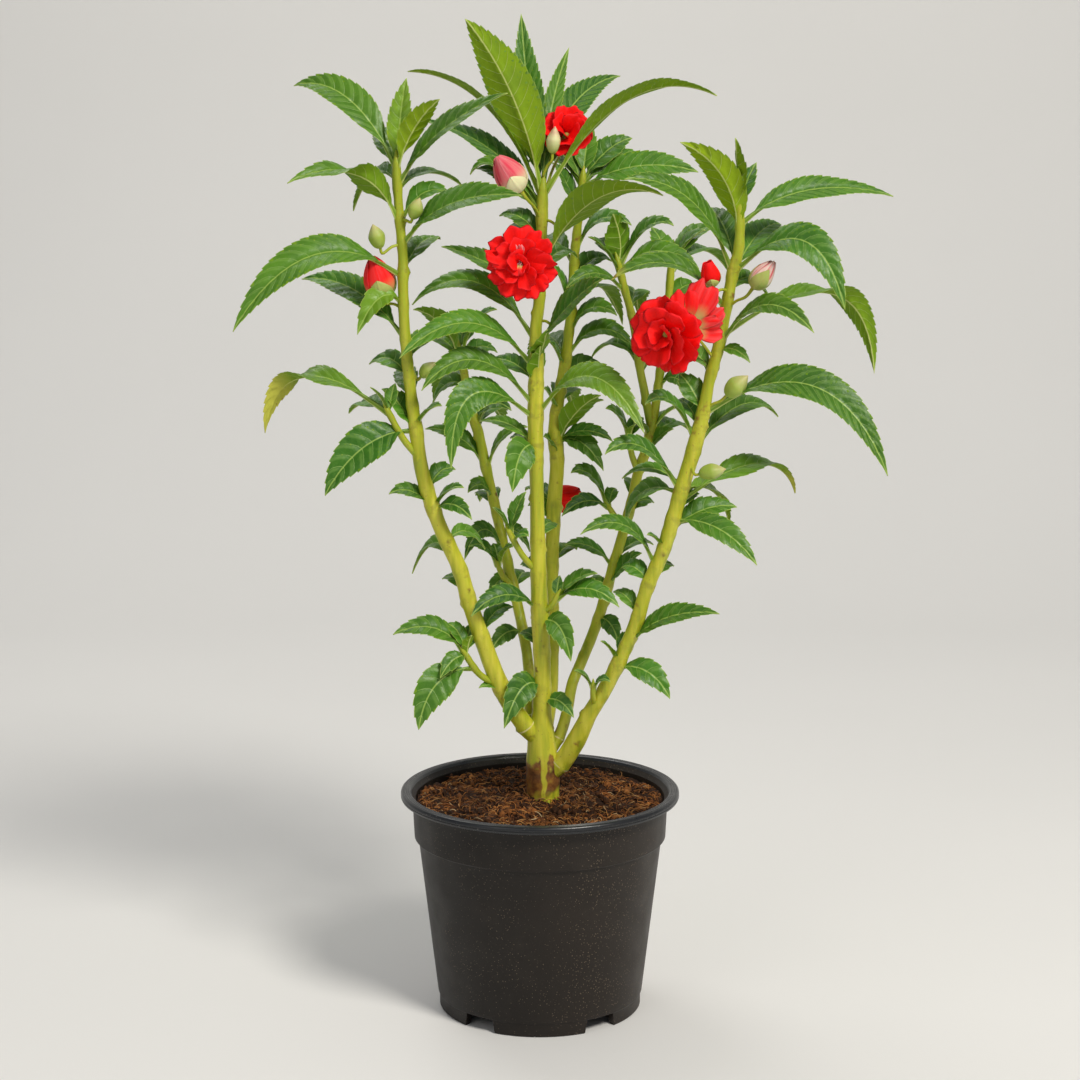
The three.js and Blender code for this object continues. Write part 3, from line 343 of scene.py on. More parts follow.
        (394, 18, -6, 23, 0.4, 20, 12, 10), (394, -10, 16, 24, 0.3, 16, 11, 0),
        (393, 36, 38, -2, 0.5, 26, 15, 0), (388, 6, 48, 4, 0.5, 28, 15, 0),
        (362, 34, 42, -12, 0.5, 24, 15, 0), (340, -8, 50, -8, 0.5, 26, 14, 0),
        (300, 30, 36, -2, 0.5, 22, 13, 0), (268, 6, 30, 4, 0.5, 18, 11, 0),
        (238, 22, 16, 6, 0.5, 14, 9, 0), (306, 15, 10, 14, 0.4, 12, 11, -20),
        (304, -9, -10, 9, 0.4, 12, 8, 20), (396, 26, 10, 22, 0.4, 24, 13, 10),
        (372, 18, 8, 12, 0.4, 20, 11, 15), (352, -18, 6, 12, 0.4, 20, 11, 15),
        (262, 15, 8, 6, 0.4, 12, 9, 20), (332, 18, -6, -6, 0.5, 12, 10, 20),
        (220, -12, 8, 4, 0.4, 10, 8, 20), (290, 17, -5, 20, 0.4, 16, 12, 25),
        (224, 18, -7, 20, 0.45, 14, 12, 25),
    ]),
    ("right_back", [
        (60.8, 51, 308, 2), (58, 52, 325, 2.4), (54.5, 50, 342, 2.2), (52.2, 48, 358, 2.2),
        (49.2, 45, 373, 2.1), (45.8, 43, 385, 2), (41.9, 42, 400, 1.7),
    ], [
        (398, -4, -10, 28, -0.5, 16, 17, -60), (398, 29, -8, 22, 0.5, 30, 11, 20),
        (396, 42, -12, 1, 0.45, 20, 12, 25), (392, -18, -6, 22, 0.4, 18, 9, 10),
        (385, -32, -16, 2, 0.5, 18, 10, 20), (397, -12, 18, 14, 0.4, 18, 12, 0),
        (372, 6, 46, -4, 0.5, 26, 14, 0), (345, -26, 16, 2, 0.5, 20, 12, 0),
    ]),
    ("right_back", [
        (53.5, 48, 286, 1.8), (50, 46, 296, 1.7), (48.5, 45, 306, 1.3),
    ], [
        (304, -13, -8, 18, 0.3, 16, 11, 20), (304, 3, -7, 9, 0.3, 8, 6, 10),
        (303, 8, 6, 12, 0.3, 12, 8, 10),
    ]),
    ("right_back", [
        (46.5, 43, 254, 1.7), (41, 41, 262, 1.6), (37, 40, 268, 1.2),
    ], [
        (267, -21, -6, 20, 0.45, 26, 11, 20), (267, -26, -12, -3, 0.5, 10, 8, 30),
        (267, 4, 3, 10, 0.3, 10, 7, 10),
    ]),
    ("left_back", [
        (-14.5, 31, 224, 1.7), (-20, 27, 231, 1.6), (-23, 25, 238, 1.2),
    ], [
        (237, -16, -6, 12, 0.4, 16, 9, 20), (237, 8, -6, 12, 0.3, 12, 8, 10),
        (237, -3, 4, 12, 0.3, 10, 6, 0),
    ]),
]

# Green buds: the stem that each is on, the foot of its stalk, its centre, its half
# length and half width, where its tip looks, how red it is and how pale
GREEN_BUDS = [
    ("left", (-70.2, -24, 412), (-82.5, -30, 416), (5, 3.4), (-0.3, -0.2, 1), 0.2, 0),
    ("left", (-71.2, -23, 424), (-62.5, -30, 430), (4.6, 3), (0.4, -0.3, 1), 0.2, 0),
    ("left", (-67.8, -25, 352), (-57.5, -22, 348), (4.4, 3), (0.6, -0.2, 0.6), 0.2, 0),
    ("right", (83.5, -29, 326), (100, -36, 341), (6, 4), (0.8, -0.3, 0.8), 0.2, 0),
    ("right", (76.5, -28, 299), (88, -36, 297), (5.5, 3.4), (0.9, -0.2, 0.2), 0.2, 0),
    ("centre", (1, -8, 424), (13, -15, 428), (4.4, 3), (0.4, -0.2, 1), 0.2, 0),
    ("centre", (1.5, -9, 446), (7, -14, 464), (5.4, 2.9), (0.1, -0.1, 1), 0.95, 0.75),
    ("centre", (0, -10, 372), (10, -17, 377), (4.2, 2.4), (0.5, -0.2, 0.8), 0.2, 0.2),
]

# Blooms and coloured buds: node, stem that carries them, red or pink, radius of the
# green core, seed, foot of the stalk, centre, and the way the face looks. Then their
# make-up: "rings" of petals from the outside in, each as count, length, width, opening
# angle, how rippled, and how far the edges curl in; a "fan" of a few single petals, as
# centre, face, and for each petal its spin, size, opening and paleness; or an "egg", a
# furled bud, as its low and high end along the face, and its girth.
BLOOMS = [
    {
        "name": "bloom_centre", "stem": "centre", "look": "red", "core": 3.6, "seed": 116,
        "foot": (0, -10, 388), "centre": (-9.5, -27, 402), "face": (-0.12, -1, 0.08),
        "rings": ((7, 19.5, 16.5, 84, 1.3, 0), (5, 15.5, 14, 60, 1.4, 0.2), (3, 11, 11.5, 26, 1, 0.9)),
        "anthers": 8,
        "fan": (
            (-9.2, -29.5, 403.5), (-0.1, -1, 0.1), (
                (0.1, 9.5, 5.5, 62, 0.9), (2.7, 9, 8, 50, 0.15),
            ),
        ),
    },
    {
        "name": "bloom_right", "stem": "right", "look": "red", "core": 4, "seed": 183,
        "foot": (89.5, -29, 353), "centre": (64, -49, 368.5), "face": (-0.5, -0.8, -0.15),
        "rings": (
            (3, 18.5, 20, 106, 1.3, 0), (5, 20.5, 24, 82, 1.3, 0.25), (4, 18, 22, 56, 1.2, 0.5),
            (3, 12, 15, 30, 1.1, 0.9),
        ),
        "fan": (
            (73.5, -43, 370), (-0.15, -0.95, 0.1), (
                (-0.6, 27, 17, 84, 0.14), (-1.1, 22, 15, 92, 0.3), (-1.7, 19, 14, 88, 0.2),
                (-0.1, 21, 15, 80, 0.05),
            ),
        ),
    },
    {
        "name": "bloom_top", "stem": "centre", "look": "red", "core": 3.2, "seed": 118,
        "foot": (1.4, -8, 434), "centre": (13.5, -0.5, 466), "face": (0.1, -0.9, 0.42),
        "rings": ((5, 15.5, 17, 60, 1.2, 0.3), (3, 13.5, 15, 34, 1, 0.9)),
        "sepal_long": 8, "sepal_open": 45,
    },
    {
        "name": "bloom_low", "stem": "centre_back", "look": "red", "core": 2.8, "seed": 116,
        "foot": (8, 38, 266), "centre": (12.5, 51, 270), "face": (0.9, -0.2, 0.35),
        "egg": (-7, 12, 7.2), "furled": 4, "flare": 0.8, "sepal_reach": 0.3,
    },
    {
        "name": "bud_left_red", "stem": "left", "look": "red", "core": 3.4, "seed": 43,
        "foot": (-70.2, -23.5, 379), "centre": (-82, -22, 393.5), "face": (-0.25, -0.3, 0.9),
        "egg": (-9.5, 13.5, 7.6), "furled": 4, "pale": 0.08, "sepal_reach": 0.5,
    },
    {
        "name": "bud_right_red", "stem": "right", "look": "red", "core": 2.4, "seed": 216,
        "foot": (96.5, -28.5, 388), "centre": (86, -38, 396), "face": (-0.3, -0.4, 1),
        "egg": (-4.5, 9, 4.4), "furled": 4, "flare": 1.6, "sepal_reach": 0.45,
    },
    {
        "name": "bud_top_pink", "stem": "centre", "look": "pink", "core": 4, "seed": 112,
        "foot": (1, -8, 422), "centre": (-15, -24, 446), "face": (-0.55, -0.3, 0.75),
        "egg": (-9, 13, 7.4), "furled": 5, "pale": 0.2, "sepal_reach": 0.55, "cream": 0.9,
    },
    {
        "name": "bud_right_pink", "stem": "right", "look": "pink", "core": 3.2, "seed": 251,
        "foot": (93.6, -28.6, 377), "centre": (112, -39, 397), "face": (0.55, -0.25, 0.75),
        "egg": (-8, 9.5, 4.9), "furled": 4, "pale": 1.0, "sepal_reach": 0.72, "cream": 0.1,
    },
]

def fill(rows, key, values, kind=np.float32):
    """Sets one property of all the rows of a mesh's list."""
    rows.foreach_set(key, np.asarray(values, kind).ravel())


def new_object(name, data):
    """An object with this data, in the scene."""
    made = bpy.data.objects.new(name, data)
    bpy.context.scene.collection.objects.link(made)
    return made


class Parts:
    """Many small shapes that become one mesh. Each vertex has a place, a UV, a
    four-number tone for its material to read, and says whether it is on a rim."""

    def __init__(self):
        self.points = []
        self.uvs = []
        self.tones = []
        self.rims = []
        self.faces = []
        self.slots = []
        self.count = 0

    def add(self, points, uv=None, tone=NO_TONE, rim=None):
        """New points; says the number of the first."""
        points = np.asarray(points, float).reshape(-1, 3)
        size = len(points)
        tone = np.asarray(tone, float)
        self.points.append(points)
        self.uvs.append(np.zeros((size, 2)) if uv is None else uv.reshape(-1, 2))
        self.tones.append(np.broadcast_to(tone if tone.ndim == 1 else tone.reshape(-1, 4), (size, 4)))
        self.rims.append(np.zeros(size, bool) if rim is None else rim)
        self.count += size
        return self.count - size

    def span(self, faces, first=0, slot=0):
        """Faces between points that are in already, numbered from first."""
        faces = np.asarray(faces, int)
        self.faces.append(faces + first)
        self.slots.append(np.broadcast_to(slot, (len(faces),)))

    def add_rings(self, rings, uv=None, tone=NO_TONE, slot=0):
        """A closed shape: rings of points, the faces between them and two caps,
        which have the slot of the first face."""
        count, sides = rings.shape[:2]
        first = self.add(rings, uv, tone)
        self.span(grid_faces(count, sides, around=True), first, slot)
        cap_slot = np.ravel(slot)[0]
        self.span([np.arange(sides)[::-1]], first, cap_slot)
        self.span([np.arange(sides)], first + (count - 1) * sides, cap_slot)

    def build(self, name, materials=()):
        """The mesh as a piece in the frame's place, riding on the root body."""
        points = np.concatenate(self.points) * MM + POT_AXIS
        corners = np.concatenate([faces.ravel() for faces in self.faces])
        sizes = np.concatenate([np.full(len(faces), faces.shape[1]) for faces in self.faces])
        mesh = bpy.data.meshes.new(name)
        mesh.vertices.add(len(points))
        fill(mesh.vertices, "co", points)
        mesh.loops.add(len(corners))
        fill(mesh.loops, "vertex_index", corners, np.int32)
        mesh.polygons.add(len(sizes))
        fill(mesh.polygons, "loop_start", np.cumsum(sizes) - sizes, np.int32)
        fill(mesh.polygons, "material_index", np.concatenate(self.slots), np.int32)
        mesh.update(calc_edges=True)
        mesh.shade_smooth()
        fill(mesh.uv_layers.new(name="UVMap").data, "uv", np.concatenate(self.uvs)[corners])
        tone = mesh.color_attributes.new("tone", "FLOAT_COLOR", "POINT")
        fill(tone.data, "color", np.concatenate(self.tones))
        ends = np.zeros(len(mesh.edges) * 2, np.int32)
        mesh.edges.foreach_get("vertices", ends)
        on_rim = np.concatenate(self.rims)[ends]
        fill(mesh.edges, "use_edge_sharp", on_rim.reshape(-1, 2).all(1), bool)
        for material in materials:
            mesh.materials.append(material)
        piece = new_object(name, mesh)
        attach(piece, "root")
        return piece


def unit(vectors):
    """Vectors brought to a length of 1."""
    vectors = np.asarray(vectors, float)
    return vectors / np.maximum(np.linalg.norm(vectors, axis=-1, keepdims=True), 1e-9)


def turned(vectors, axes, angles):
    """Each vector turned about its own axis by its own angle."""
    cosines = np.cos(angles)[..., None]
    sines = np.sin(angles)[..., None]
    along = (vectors * axes).sum(-1, keepdims=True)
    return vectors * cosines + np.cross(axes, vectors) * sines + axes * along * (1 - cosines)


def round_angles(count):
    """A number of angles evenly round a circle."""
    return np.linspace(0, ROUND, count, endpoint=False)


def stacked(*grids):
    """Grids of single numbers as one grid of points."""
    return np.stack(np.broadcast_arrays(*grids), -1)


def soft_bump(values, middle, width):
    """1 at the middle, falling off to 0 on both sides over a width."""
    return np.exp(-((values - middle) / width) ** 2)


def grid_faces(rows, columns, around=False):
    """Quads of a grid of points, row by row, closed round if the columns meet."""
    row = np.arange(rows - 1)[:, None] * columns
    column = np.arange(columns if around else columns - 1)
    beside = (column + 1) % columns
    quads = stacked(row + column, row + beside, row + beside + columns, row + column + columns)
    return quads.reshape(-1, 4)


def run_along(places):
    """How far along a line each of its places is."""
    return np.concatenate([[0], np.cumsum(np.linalg.norm(np.diff(places, axis=0), axis=1))])


def smooth_route(route, step):
    """A centripetal curve through points of x, y, z and radius, as places and
    radii about a step apart."""
    route = np.asarray(route, float)
    places = route[:, :3]
    padded = np.vstack([2 * places[0] - places[1], places, 2 * places[-1] - places[-2]])
    spans = np.sqrt(np.linalg.norm(np.diff(padded, axis=0), axis=1))
    found = []
    radii = []
    for i in range(len(route) - 1):
        before, start, end, after = padded[i:i + 4]
        first, middle, last = spans[i:i + 3]
        leave = (start - before) / first - (end - before) / (first + middle) + (end - start) / middle
        arrive = (end - start) / middle - (after - start) / (middle + last) + (after - end) / last
        share = np.arange(0, 1, 1 / max(1, round(np.linalg.norm(end - start) / step)))[:, None]
        square, cube = share ** 2, share ** 3
        found.append(
            (2 * cube - 3 * square + 1) * start + (cube - 2 * square + share) * leave * middle
            + (3 * square - 2 * cube) * end + (cube - square) * arrive * middle
        )
        radii.append(route[i, 3] * (1 - share[:, 0]) + route[i + 1, 3] * share[:, 0])
    return np.vstack([*found, places[-1:]]), np.concatenate([*radii, route[-1:, 3]])


def sides_along(places):
    """Two directions across a line at each of its places, carried along untwisted."""
    along = unit(np.gradient(places, axis=0))
    side = unit(np.cross(along[0], (0.0, 1.0, 0.0)))
    sides = [side]
    for way in along[1:]:
        side = unit(side - way * np.dot(side, way))
        sides.append(side)
    return np.array(sides), np.cross(along, sides)


def tube(parts, places, radii, sides, tone=NO_TONE, slot=0, oval=1.0, lumps=0.0):
    """A closed round tube along places. Its UV is the share round it and the
    length along it, and lumps is a height to add, for each ring and side."""
    side, other = sides_along(places)
    angle = round_angles(sides)
    ring = side[:, None] * np.cos(angle)[:, None] + oval * other[:, None] * np.sin(angle)[:, None]
    points = places[:, None] + ring * (radii[:, None] + lumps)[..., None]
    uv = stacked(angle / ROUND, run_along(places)[:, None])
    parts.add_rings(points, uv, np.broadcast_to(tone, (len(places), sides, 4)), slot)


def foot_on(route, height):
    """The point of an axis at a height, read from its route."""
    after = max(1, next(i for i, point in enumerate(route) if point[2] >= height))
    start, end = (np.array(route[i][:3], float) for i in (after - 1, after))
    share = np.clip((height - start[2]) / (end[2] - start[2]), 0, 1)
    return start * (1 - share) + end * share


def lance_half_width(share, width):
    """Half width of a lance-shaped blade at a share of the blade's length."""
    return width / 2 * np.sin(math.pi * np.clip(share, 0, 1) ** 0.78) ** 0.9


def leaf_stations(length):
    """Shares of the leaf's length for its rows, and whether each is a tooth's
    point (1), its shoulder (0.5), the cut before it (-1) or neither (0)."""
    stalk = np.linspace(0, STALK_SHARE, STALK_ROWS, endpoint=False)
    teeth = max(3, round(length * (1 - STALK_SHARE) / TOOTH_PITCH))
    step = (1 - STALK_SHARE) / teeth
    cuts = STALK_SHARE + step * np.arange(teeth)
    blade = np.stack([cuts, cuts + 0.45 * step, cuts + 0.84 * step], -1).ravel()
    rows = np.concatenate([stalk, blade, [1.0]])
    kinds = np.concatenate([np.zeros(STALK_ROWS), np.tile([-1, 0.5, 1], teeth), [0]])
    return rows, kinds


def leaf(parts, foot, row, luck, age, dry, turn, roll):
    """One leaf: a channelled stalk that widens into a thin folded blade with saw
    teeth, a sunk rib, arched side veins and the quilting between them. age is
    0 for a dark old leaf and 1 for a young yellow-green one, dry is how much of
    its outer end has turned yellow, turn is how its upper face turns to the
    front, and roll is how much further it turns towards its tip."""
    right, back, up, arch_share, arch_height, width = row[1:7]
    width *= np.interp(width, (10, 18), (1.32, 1.08))
    turn += 12 if turn >= 0 else 0
    hand = -1 if right < 0 else 1
    reach = np.array([right, back, up], float)
    bend = np.array([right * arch_share, back * arch_share, arch_height])
    straight = np.linalg.norm(reach)
    length = np.linalg.norm(bend) * 0.5 + np.linalg.norm(reach - bend) * 0.5 + straight * 0.25
    length = max(length, straight)
    t, kinds = leaf_stations(length)
    at = t[:, None]
    rib = foot + 2 * at * (1 - at) * bend + at ** 2 * reach
    along = unit(2 * (1 - 2 * at) * bend + 2 * at * reach)
    level = unit(np.array([right, back, 0.0]))
    side = np.broadcast_to(np.array([level[1], -level[0], 0.0]), along.shape)
    facing = math.radians(turn) * hand * np.minimum(1, t / TURN_EASE)
    facing = facing + luck.uniform(-0.16, 0.16) * t ** 2
    rolled = np.clip((t - 0.3) / 0.45, 0, 1)
    facing = facing + math.radians(roll) * hand * rolled ** 2 * (3 - 2 * rolled)
    lateral = turned(side, along, facing)[:, None]
    normal = np.cross(lateral, along[:, None])

    # The outline: how wide each row is, and its teeth
    share = (t - STALK_SHARE) / (1 - STALK_SHARE)
    wing = STALK_HALF_WIDTH * (1 + 0.25 * (t < 0.03)) * min(1.0, 0.45 + length / 60)
    half = np.maximum(lance_half_width(share, width), wing * (1 - np.clip(share, 0, 1)) ** 2)
    half[-1] = 0.12
    scale = min(1.0, width / 14)
    coarse = 0.55 + 0.45 * scale
    depth = coarse * np.clip((half - 1.0) / 2.5, 0, 1)
    cut = np.select([kinds > 0.9, kinds > 0, kinds < 0], [0.5, 0.2, -0.6], 0.0) * TOOTH_DEPTH * depth
    lean = np.where(kinds > 0.9, TOOTH_LEAN * TOOTH_PITCH * depth, 0)
    share = share[:, None]
    half = half[:, None]
    across = np.linspace(-1, 1, BLADE_COLUMNS + 1)
    edge = np.abs(across)
    is_rim = edge > 0.999
    spread = half * across + np.where(is_rim, np.sign(across), 0) * cut[:, None]
    lean = np.where(is_rim, lean[:, None], 0)

    # The relief: fold, curl, ripple, the quilting between the veins, and the rib
    veins = max(3.0, round(length * (1 - STALK_SHARE) / SIDE_VEIN_GAP / coarse))
    phase = veins * (share - 0.17 * edge ** 1.35 * (1 - 0.35 * share)) + luck.random()
    pillow = np.abs(np.sin(math.pi * phase)) ** 0.6 - 0.6 + 0.22 * np.sin(ROUND * phase)
    fade = np.clip(half / 3, 0, 1) * (1 - edge ** 5) * np.clip(edge / 0.12, 0, 1)
    relief = scale * (QUILT * fade * pillow - RIB_GROOVE * soft_bump(spread, 0, 0.8))
    fold = math.radians(BLADE_FOLD + luck.uniform(-4, 5))
    curl = luck.uniform(0.06, 0.13) * half * edge ** 2.4
    waves = luck.uniform(1.6, 2.6)
    swing = luck.uniform(0, 6.28)
    ripple = 0.05 * half * edge ** 2 * np.sin(waves * 6.28 * share + swing + 1.4 * (across > 0))
    on_stalk = 1 - np.clip(share * 6 + 0.6, 0, 1)
    height = np.abs(spread) * math.sin(fold) - curl + ripple + relief + on_stalk * 0.5 * edge
    middle = (
        rib[:, None] + lateral * (spread * math.cos(fold))[..., None]
        + normal * height[..., None] + along[:, None] * lean[..., None]
    )

    # The two faces, which share their edges
    body = 1 - edge ** 3
    keel = 0.75 * soft_bump(spread, 0, 0.75) * (0.35 + 0.65 * (1 - at)) * min(1.0, 0.4 + width / 20)
    above = middle + normal * (BLADE_THICKNESS / 2 * body)[:, None]
    below = middle - normal * (BLADE_THICKNESS / 2 * body + keel + on_stalk * body * 0.8)[..., None]
    rows, columns = spread.shape
    upper = np.arange(rows * columns).reshape(rows, columns)
    under = upper.copy()
    under[:, 1:-1] = rows * columns + np.arange(rows * (columns - 2)).reshape(rows, columns - 2)
    dryness = np.clip((share - 1 + dry) * 6, 0, 1) if dry else 0.0
    uv = stacked(across, phase)
    tone = stacked(age, luck.random(), dryness, np.broadcast_to(half, spread.shape))
    points, uv, tone = (
        np.vstack([a.reshape(-1, count), b[:, 1:-1].reshape(-1, count)])
        for a, b, count in ((above, below, 3), (uv, uv, 2), (tone, tone, 4))
    )
    rim = np.zeros(len(points), bool)
    rim[upper[:, [0, -1]]] = True
    first = parts.add(points, uv, tone, rim)
    grid = grid_faces(rows, columns)
    parts.span(grid, first, slot=0)
    parts.span(under.ravel()[grid][:, ::-1], first, slot=1)
    parts.span([np.concatenate([upper[0], under[0, -2:0:-1]])[::-1]], first, slot=1)
    parts.span([np.concatenate([upper[-1], under[-1, -2:0:-1]])], first, slot=1)


def shaft(parts, stem, route, leaves, luck):
    """A growing axis: a round fleshy shaft, swollen at its leaf feet, faintly
    ridged along its length, scarred and brown where the trunk leaves the soil,
    and pale where a side stem leaves the trunk."""
    route = np.array(route, float)
    main = len(route) > 4
    trunk = main and stem == "centre"
    end = route[-1]
    rise = unit(end[:3] - route[-2, :3])
    for reach, slimmer in ((1.5, 0.72), (3.4, 0.2)):
        route = np.vstack([route, [*(end[:3] + rise * end[3] * reach), end[3] * slimmer]])
    if main and not trunk:
        start = route[0]
        back = unit(start[:3] - route[1, :3])
        route = np.vstack([[*(start[:3] + back * 5), start[3] * 0.7], route])
    places, radii = smooth_route(route, STEM_STEP)
    sides = STEM_SIDES if main else SHOOT_SIDES
    length = run_along(places)
    angle = round_angles(sides)
    swell, node, seam, brown = np.zeros((4, len(places)))
    tall = 1.0
    for row in leaves:
        at = length[np.argmin(np.abs(places[:, 2] - row[0]))]
        swell += 0.32 * soft_bump(length, at, 2.6)
        node += soft_bump(length, at + 0.8, 0.9)
    swell = np.minimum(swell, 0.4) * np.clip((length[-1] - length) / 14, 0.2, 1)
    node = np.minimum(node, 1) * np.clip((length[-1] - length) / 40, 0, 1)
    if trunk:
        height = places[:, 2]
        brown = np.clip((BARK_TOP - height) / 12, 0, 1)
        tall = np.clip((height - BARK_FOOT) / BARK_SPAN, 0, 1)[:, None]
        for middle, width, amount in TRUNK_SWELLINGS:
            swell += amount * soft_bump(height, middle, width)
    elif main:
        leave = length[np.argmax(np.hypot(places[:, 0] - 1, places[:, 1]) > TRUNK_RADIUS)]
        seam = np.clip(0.5 + (length - leave) / SEAM_SPAN, 0, 1)
        swell += 0.55 * soft_bump(length, leave, 1.4)
    turn = luck.uniform(0, 6.28)
    ridges = 0.07 * np.cos(5 * angle + turn + 0.012 * length[:, None])
    grain = np.array([
        [noise.noise(Vector((3 * math.cos(a), 3 * math.sin(a), 0.16 * run + turn))) for a in angle]
        for run in length
    ])
    knobs = np.zeros((len(places), sides))
    for at in np.arange(18, length[-1] - 20, KNOB_GAP) if main else ():
        at += luck.uniform(-7, 7)
        around = (angle - luck.uniform(0, ROUND) + math.pi) % ROUND - math.pi
        knobs += soft_bump(length, at, 1.5)[:, None] * soft_bump(around, 0, 0.36)
    grain *= ((0.12 + 0.5 * brown) * np.minimum(1, radii / 3))[:, None]
    lumps = swell[:, None] + 1.1 * knobs + radii[:, None] / 4 * ridges + grain
    scars = np.clip(0.6 * node[:, None] + 1.3 * knobs ** 2, 0, 1)
    tone = stacked(tall, scars, seam[:, None], np.clip(radii / 9, 0, 1)[:, None])
    tube(parts, places, radii, sides, tone, lumps=lumps)


def stalk(parts, foot, end, way, sides, flare=0.0):
    """A thin stalk that leaves its stem, rises a little and arrives along a way."""
    foot = np.array(foot, float)
    reach = np.linalg.norm(end - foot)
    approach = end - 0.3 * reach * unit(way)
    middle = (foot + approach) / 2 + (0, 0, 0.08 * reach)
    route = [[*point, STALK_RADIUS] for point in (foot, middle, approach, end)]
    places, radii = smooth_route(route, STALK_STEP)
    share = np.linspace(0, 1, len(places))
    tube(parts, places, radii * (1 + flare * share ** 6), sides, STALK_TONE)


def green_bud(parts, foot, centre, half, tip, red, cream, luck):
    """A closed flower bud: a plump ridged egg with a pointed end, on its stalk."""
    centre = np.array(centre, float)
    tip = unit(tip)
    long_half = half[0] * 1.3
    wide_half = half[1] * 1.25
    stalk(parts, foot, centre - tip * long_half * 0.85, tip, 10)
    share = np.linspace(-1, 1, BUD_RINGS)
    blunt = np.sqrt(np.clip(1 - share ** 2, 0, 1))
    pointed = np.clip(1 - np.abs(share) ** 1.4, 0, 1) ** 0.9
    girth = wide_half * np.maximum(np.where(share < 0, blunt, pointed), 0.06)
    angle = round_angles(BUD_SIDES)
    seams = np.abs(np.cos(1.5 * angle + share[:, None] * 0.5 + luck.uniform(0, 6))) ** 8
    redness = np.clip((share - 0.2) * 1.2, 0, 1) * red
    paleness = np.clip(share * 0.9 + cream * 1.2, 0, 1) * (0.75 if cream else 0.5)
    tone = stacked(redness, paleness, luck.random(), 1)[:, None]
    line = centre + tip * (share * long_half)[:, None]
    lumps = girth[:, None] * (0.03 - 0.12 * seams)
    tube(parts, line, girth, BUD_SIDES, tone, slot=1, lumps=lumps)


def turn_to(face):
    """The turn that takes straight up to a direction."""
    return np.array(Vector((0, 0, 1)).rotation_difference(Vector(face).normalized()).to_matrix())


def turned_about(points, axis, angle):
    """Points turned by an angle about x (0), y (1) or z (2)."""
    axes = np.broadcast_to(np.eye(3)[axis], points.shape)
    return turned(points, axes, np.full(points.shape[:-1], angle))


def petal(parts, bloom, size, spin, lap, luck, wave, wrap, sepal=False):
    """A heart-shaped petal with a narrow claw, a notched, rippled end and edges
    that curl in when it is closed: two thin sheets that share their rim."""
    length, width, opening = size
    root = 0.65 * bloom["core"]
    closing = math.cos(math.radians(opening))
    share = np.linspace(0, 1, PETAL_ROWS + 1)[:, None]
    across = np.linspace(-1, 1, PETAL_COLUMNS + 1)
    side = np.abs(across)
    # The outline, with its notch, then the waves, the droop and the rib
    notch = luck.uniform(0.1, 0.17)
    reach = 1 - notch * soft_bump(across, luck.uniform(-0.08, 0.08), 0.2) - 0.27 * side ** 2.6
    reach = reach + luck.uniform(0.015, 0.035) * np.sin(11 * across + luck.uniform(0, 6))
    x = width / 2 * across * (0.16 + 0.84 * np.sin(math.pi / 2 * share ** 0.85))
    y = root + share * reach * (length - root)
    phase = luck.uniform(0, 6.28)
    slow = np.sin(2.1 * across + phase) + 0.6 * np.sin(4.3 * across + 2 * phase + 2 * share)
    quick = np.sin(8.5 * across + 3 * phase) + 0.5 * np.sin(15 * across + phase)
    droop = luck.uniform(0.0, 0.12) * share ** 3
    z = 0.1 * share - 0.22 * share ** 2 * closing + 0.05 * side * share
    z = z + wave * (0.06 * share ** 1.6 * slow + 0.028 * share ** 4 * quick - droop)
    z = z - 0.035 * soft_bump(across, 0, 0.14) * share * (1 - 0.3 * share)
    middle = stacked(x, y, length * z + wrap * x ** 2 / width)
    ways = unit(np.cross(np.gradient(middle, axis=1), np.gradient(middle, axis=0)))
    half = ways * (PETAL_THICKNESS / 2 * (1 - side ** 4) * (1 - share ** 10))[..., None]
    # Both sheets, turned from lying flat to where the petal stands in the bloom
    sheets = []
    for sheet in (middle + half, middle - half):
        sheet = turned_about(sheet, 1, math.radians(lap + 0.25 * (90 - opening)))
        sheet = turned_about(sheet, 0, math.radians(90 - opening))
        sheet = turned_about(sheet, 2, spin)
        sheets.append(sheet @ turn_to(bloom["face"]).T + bloom["centre"])
    rows, columns = middle.shape[:2]
    upper = np.arange(rows * columns).reshape(rows, columns)
    under = upper.copy()
    inner = under[:-1, 1:-1]
    inner[:] = rows * columns + np.arange(inner.size).reshape(inner.shape)
    uv = stacked(across, share)
    points, uv = (
        np.vstack([a.reshape(-1, count), b[:-1, 1:-1].reshape(-1, count)])
        for a, b, count in ((*sheets, 3), (uv, uv, 2))
    )
    tone = (luck.random() * (0.2 if sepal else 1), 0.1 if sepal else closing, bloom["pale"], 0)
    slot = int(sepal)
    first = parts.add(points, uv, tone)
    grid = grid_faces(rows, columns)
    parts.span(grid, first, slot)
    parts.span(under.ravel()[grid][:, [0, 3, 2, 1]], first, slot)
    parts.span([np.concatenate([upper[0, ::-1], under[0, 1:-1]])], first, slot)


def anther(parts, place, way, luck):
    """A small plump anther."""
    share = np.linspace(-1, 1, 9)
    line = place + unit(way) * (share * ANTHER_HALF_LENGTH)[:, None]
    girth = ANTHER_HALF_LENGTH * 0.55 * np.sqrt(np.clip(1 - share ** 2, 0.02, 1))
    tube(parts, line, girth, 8, (luck.random(), 0, 0, 1), slot=2, oval=0.7)


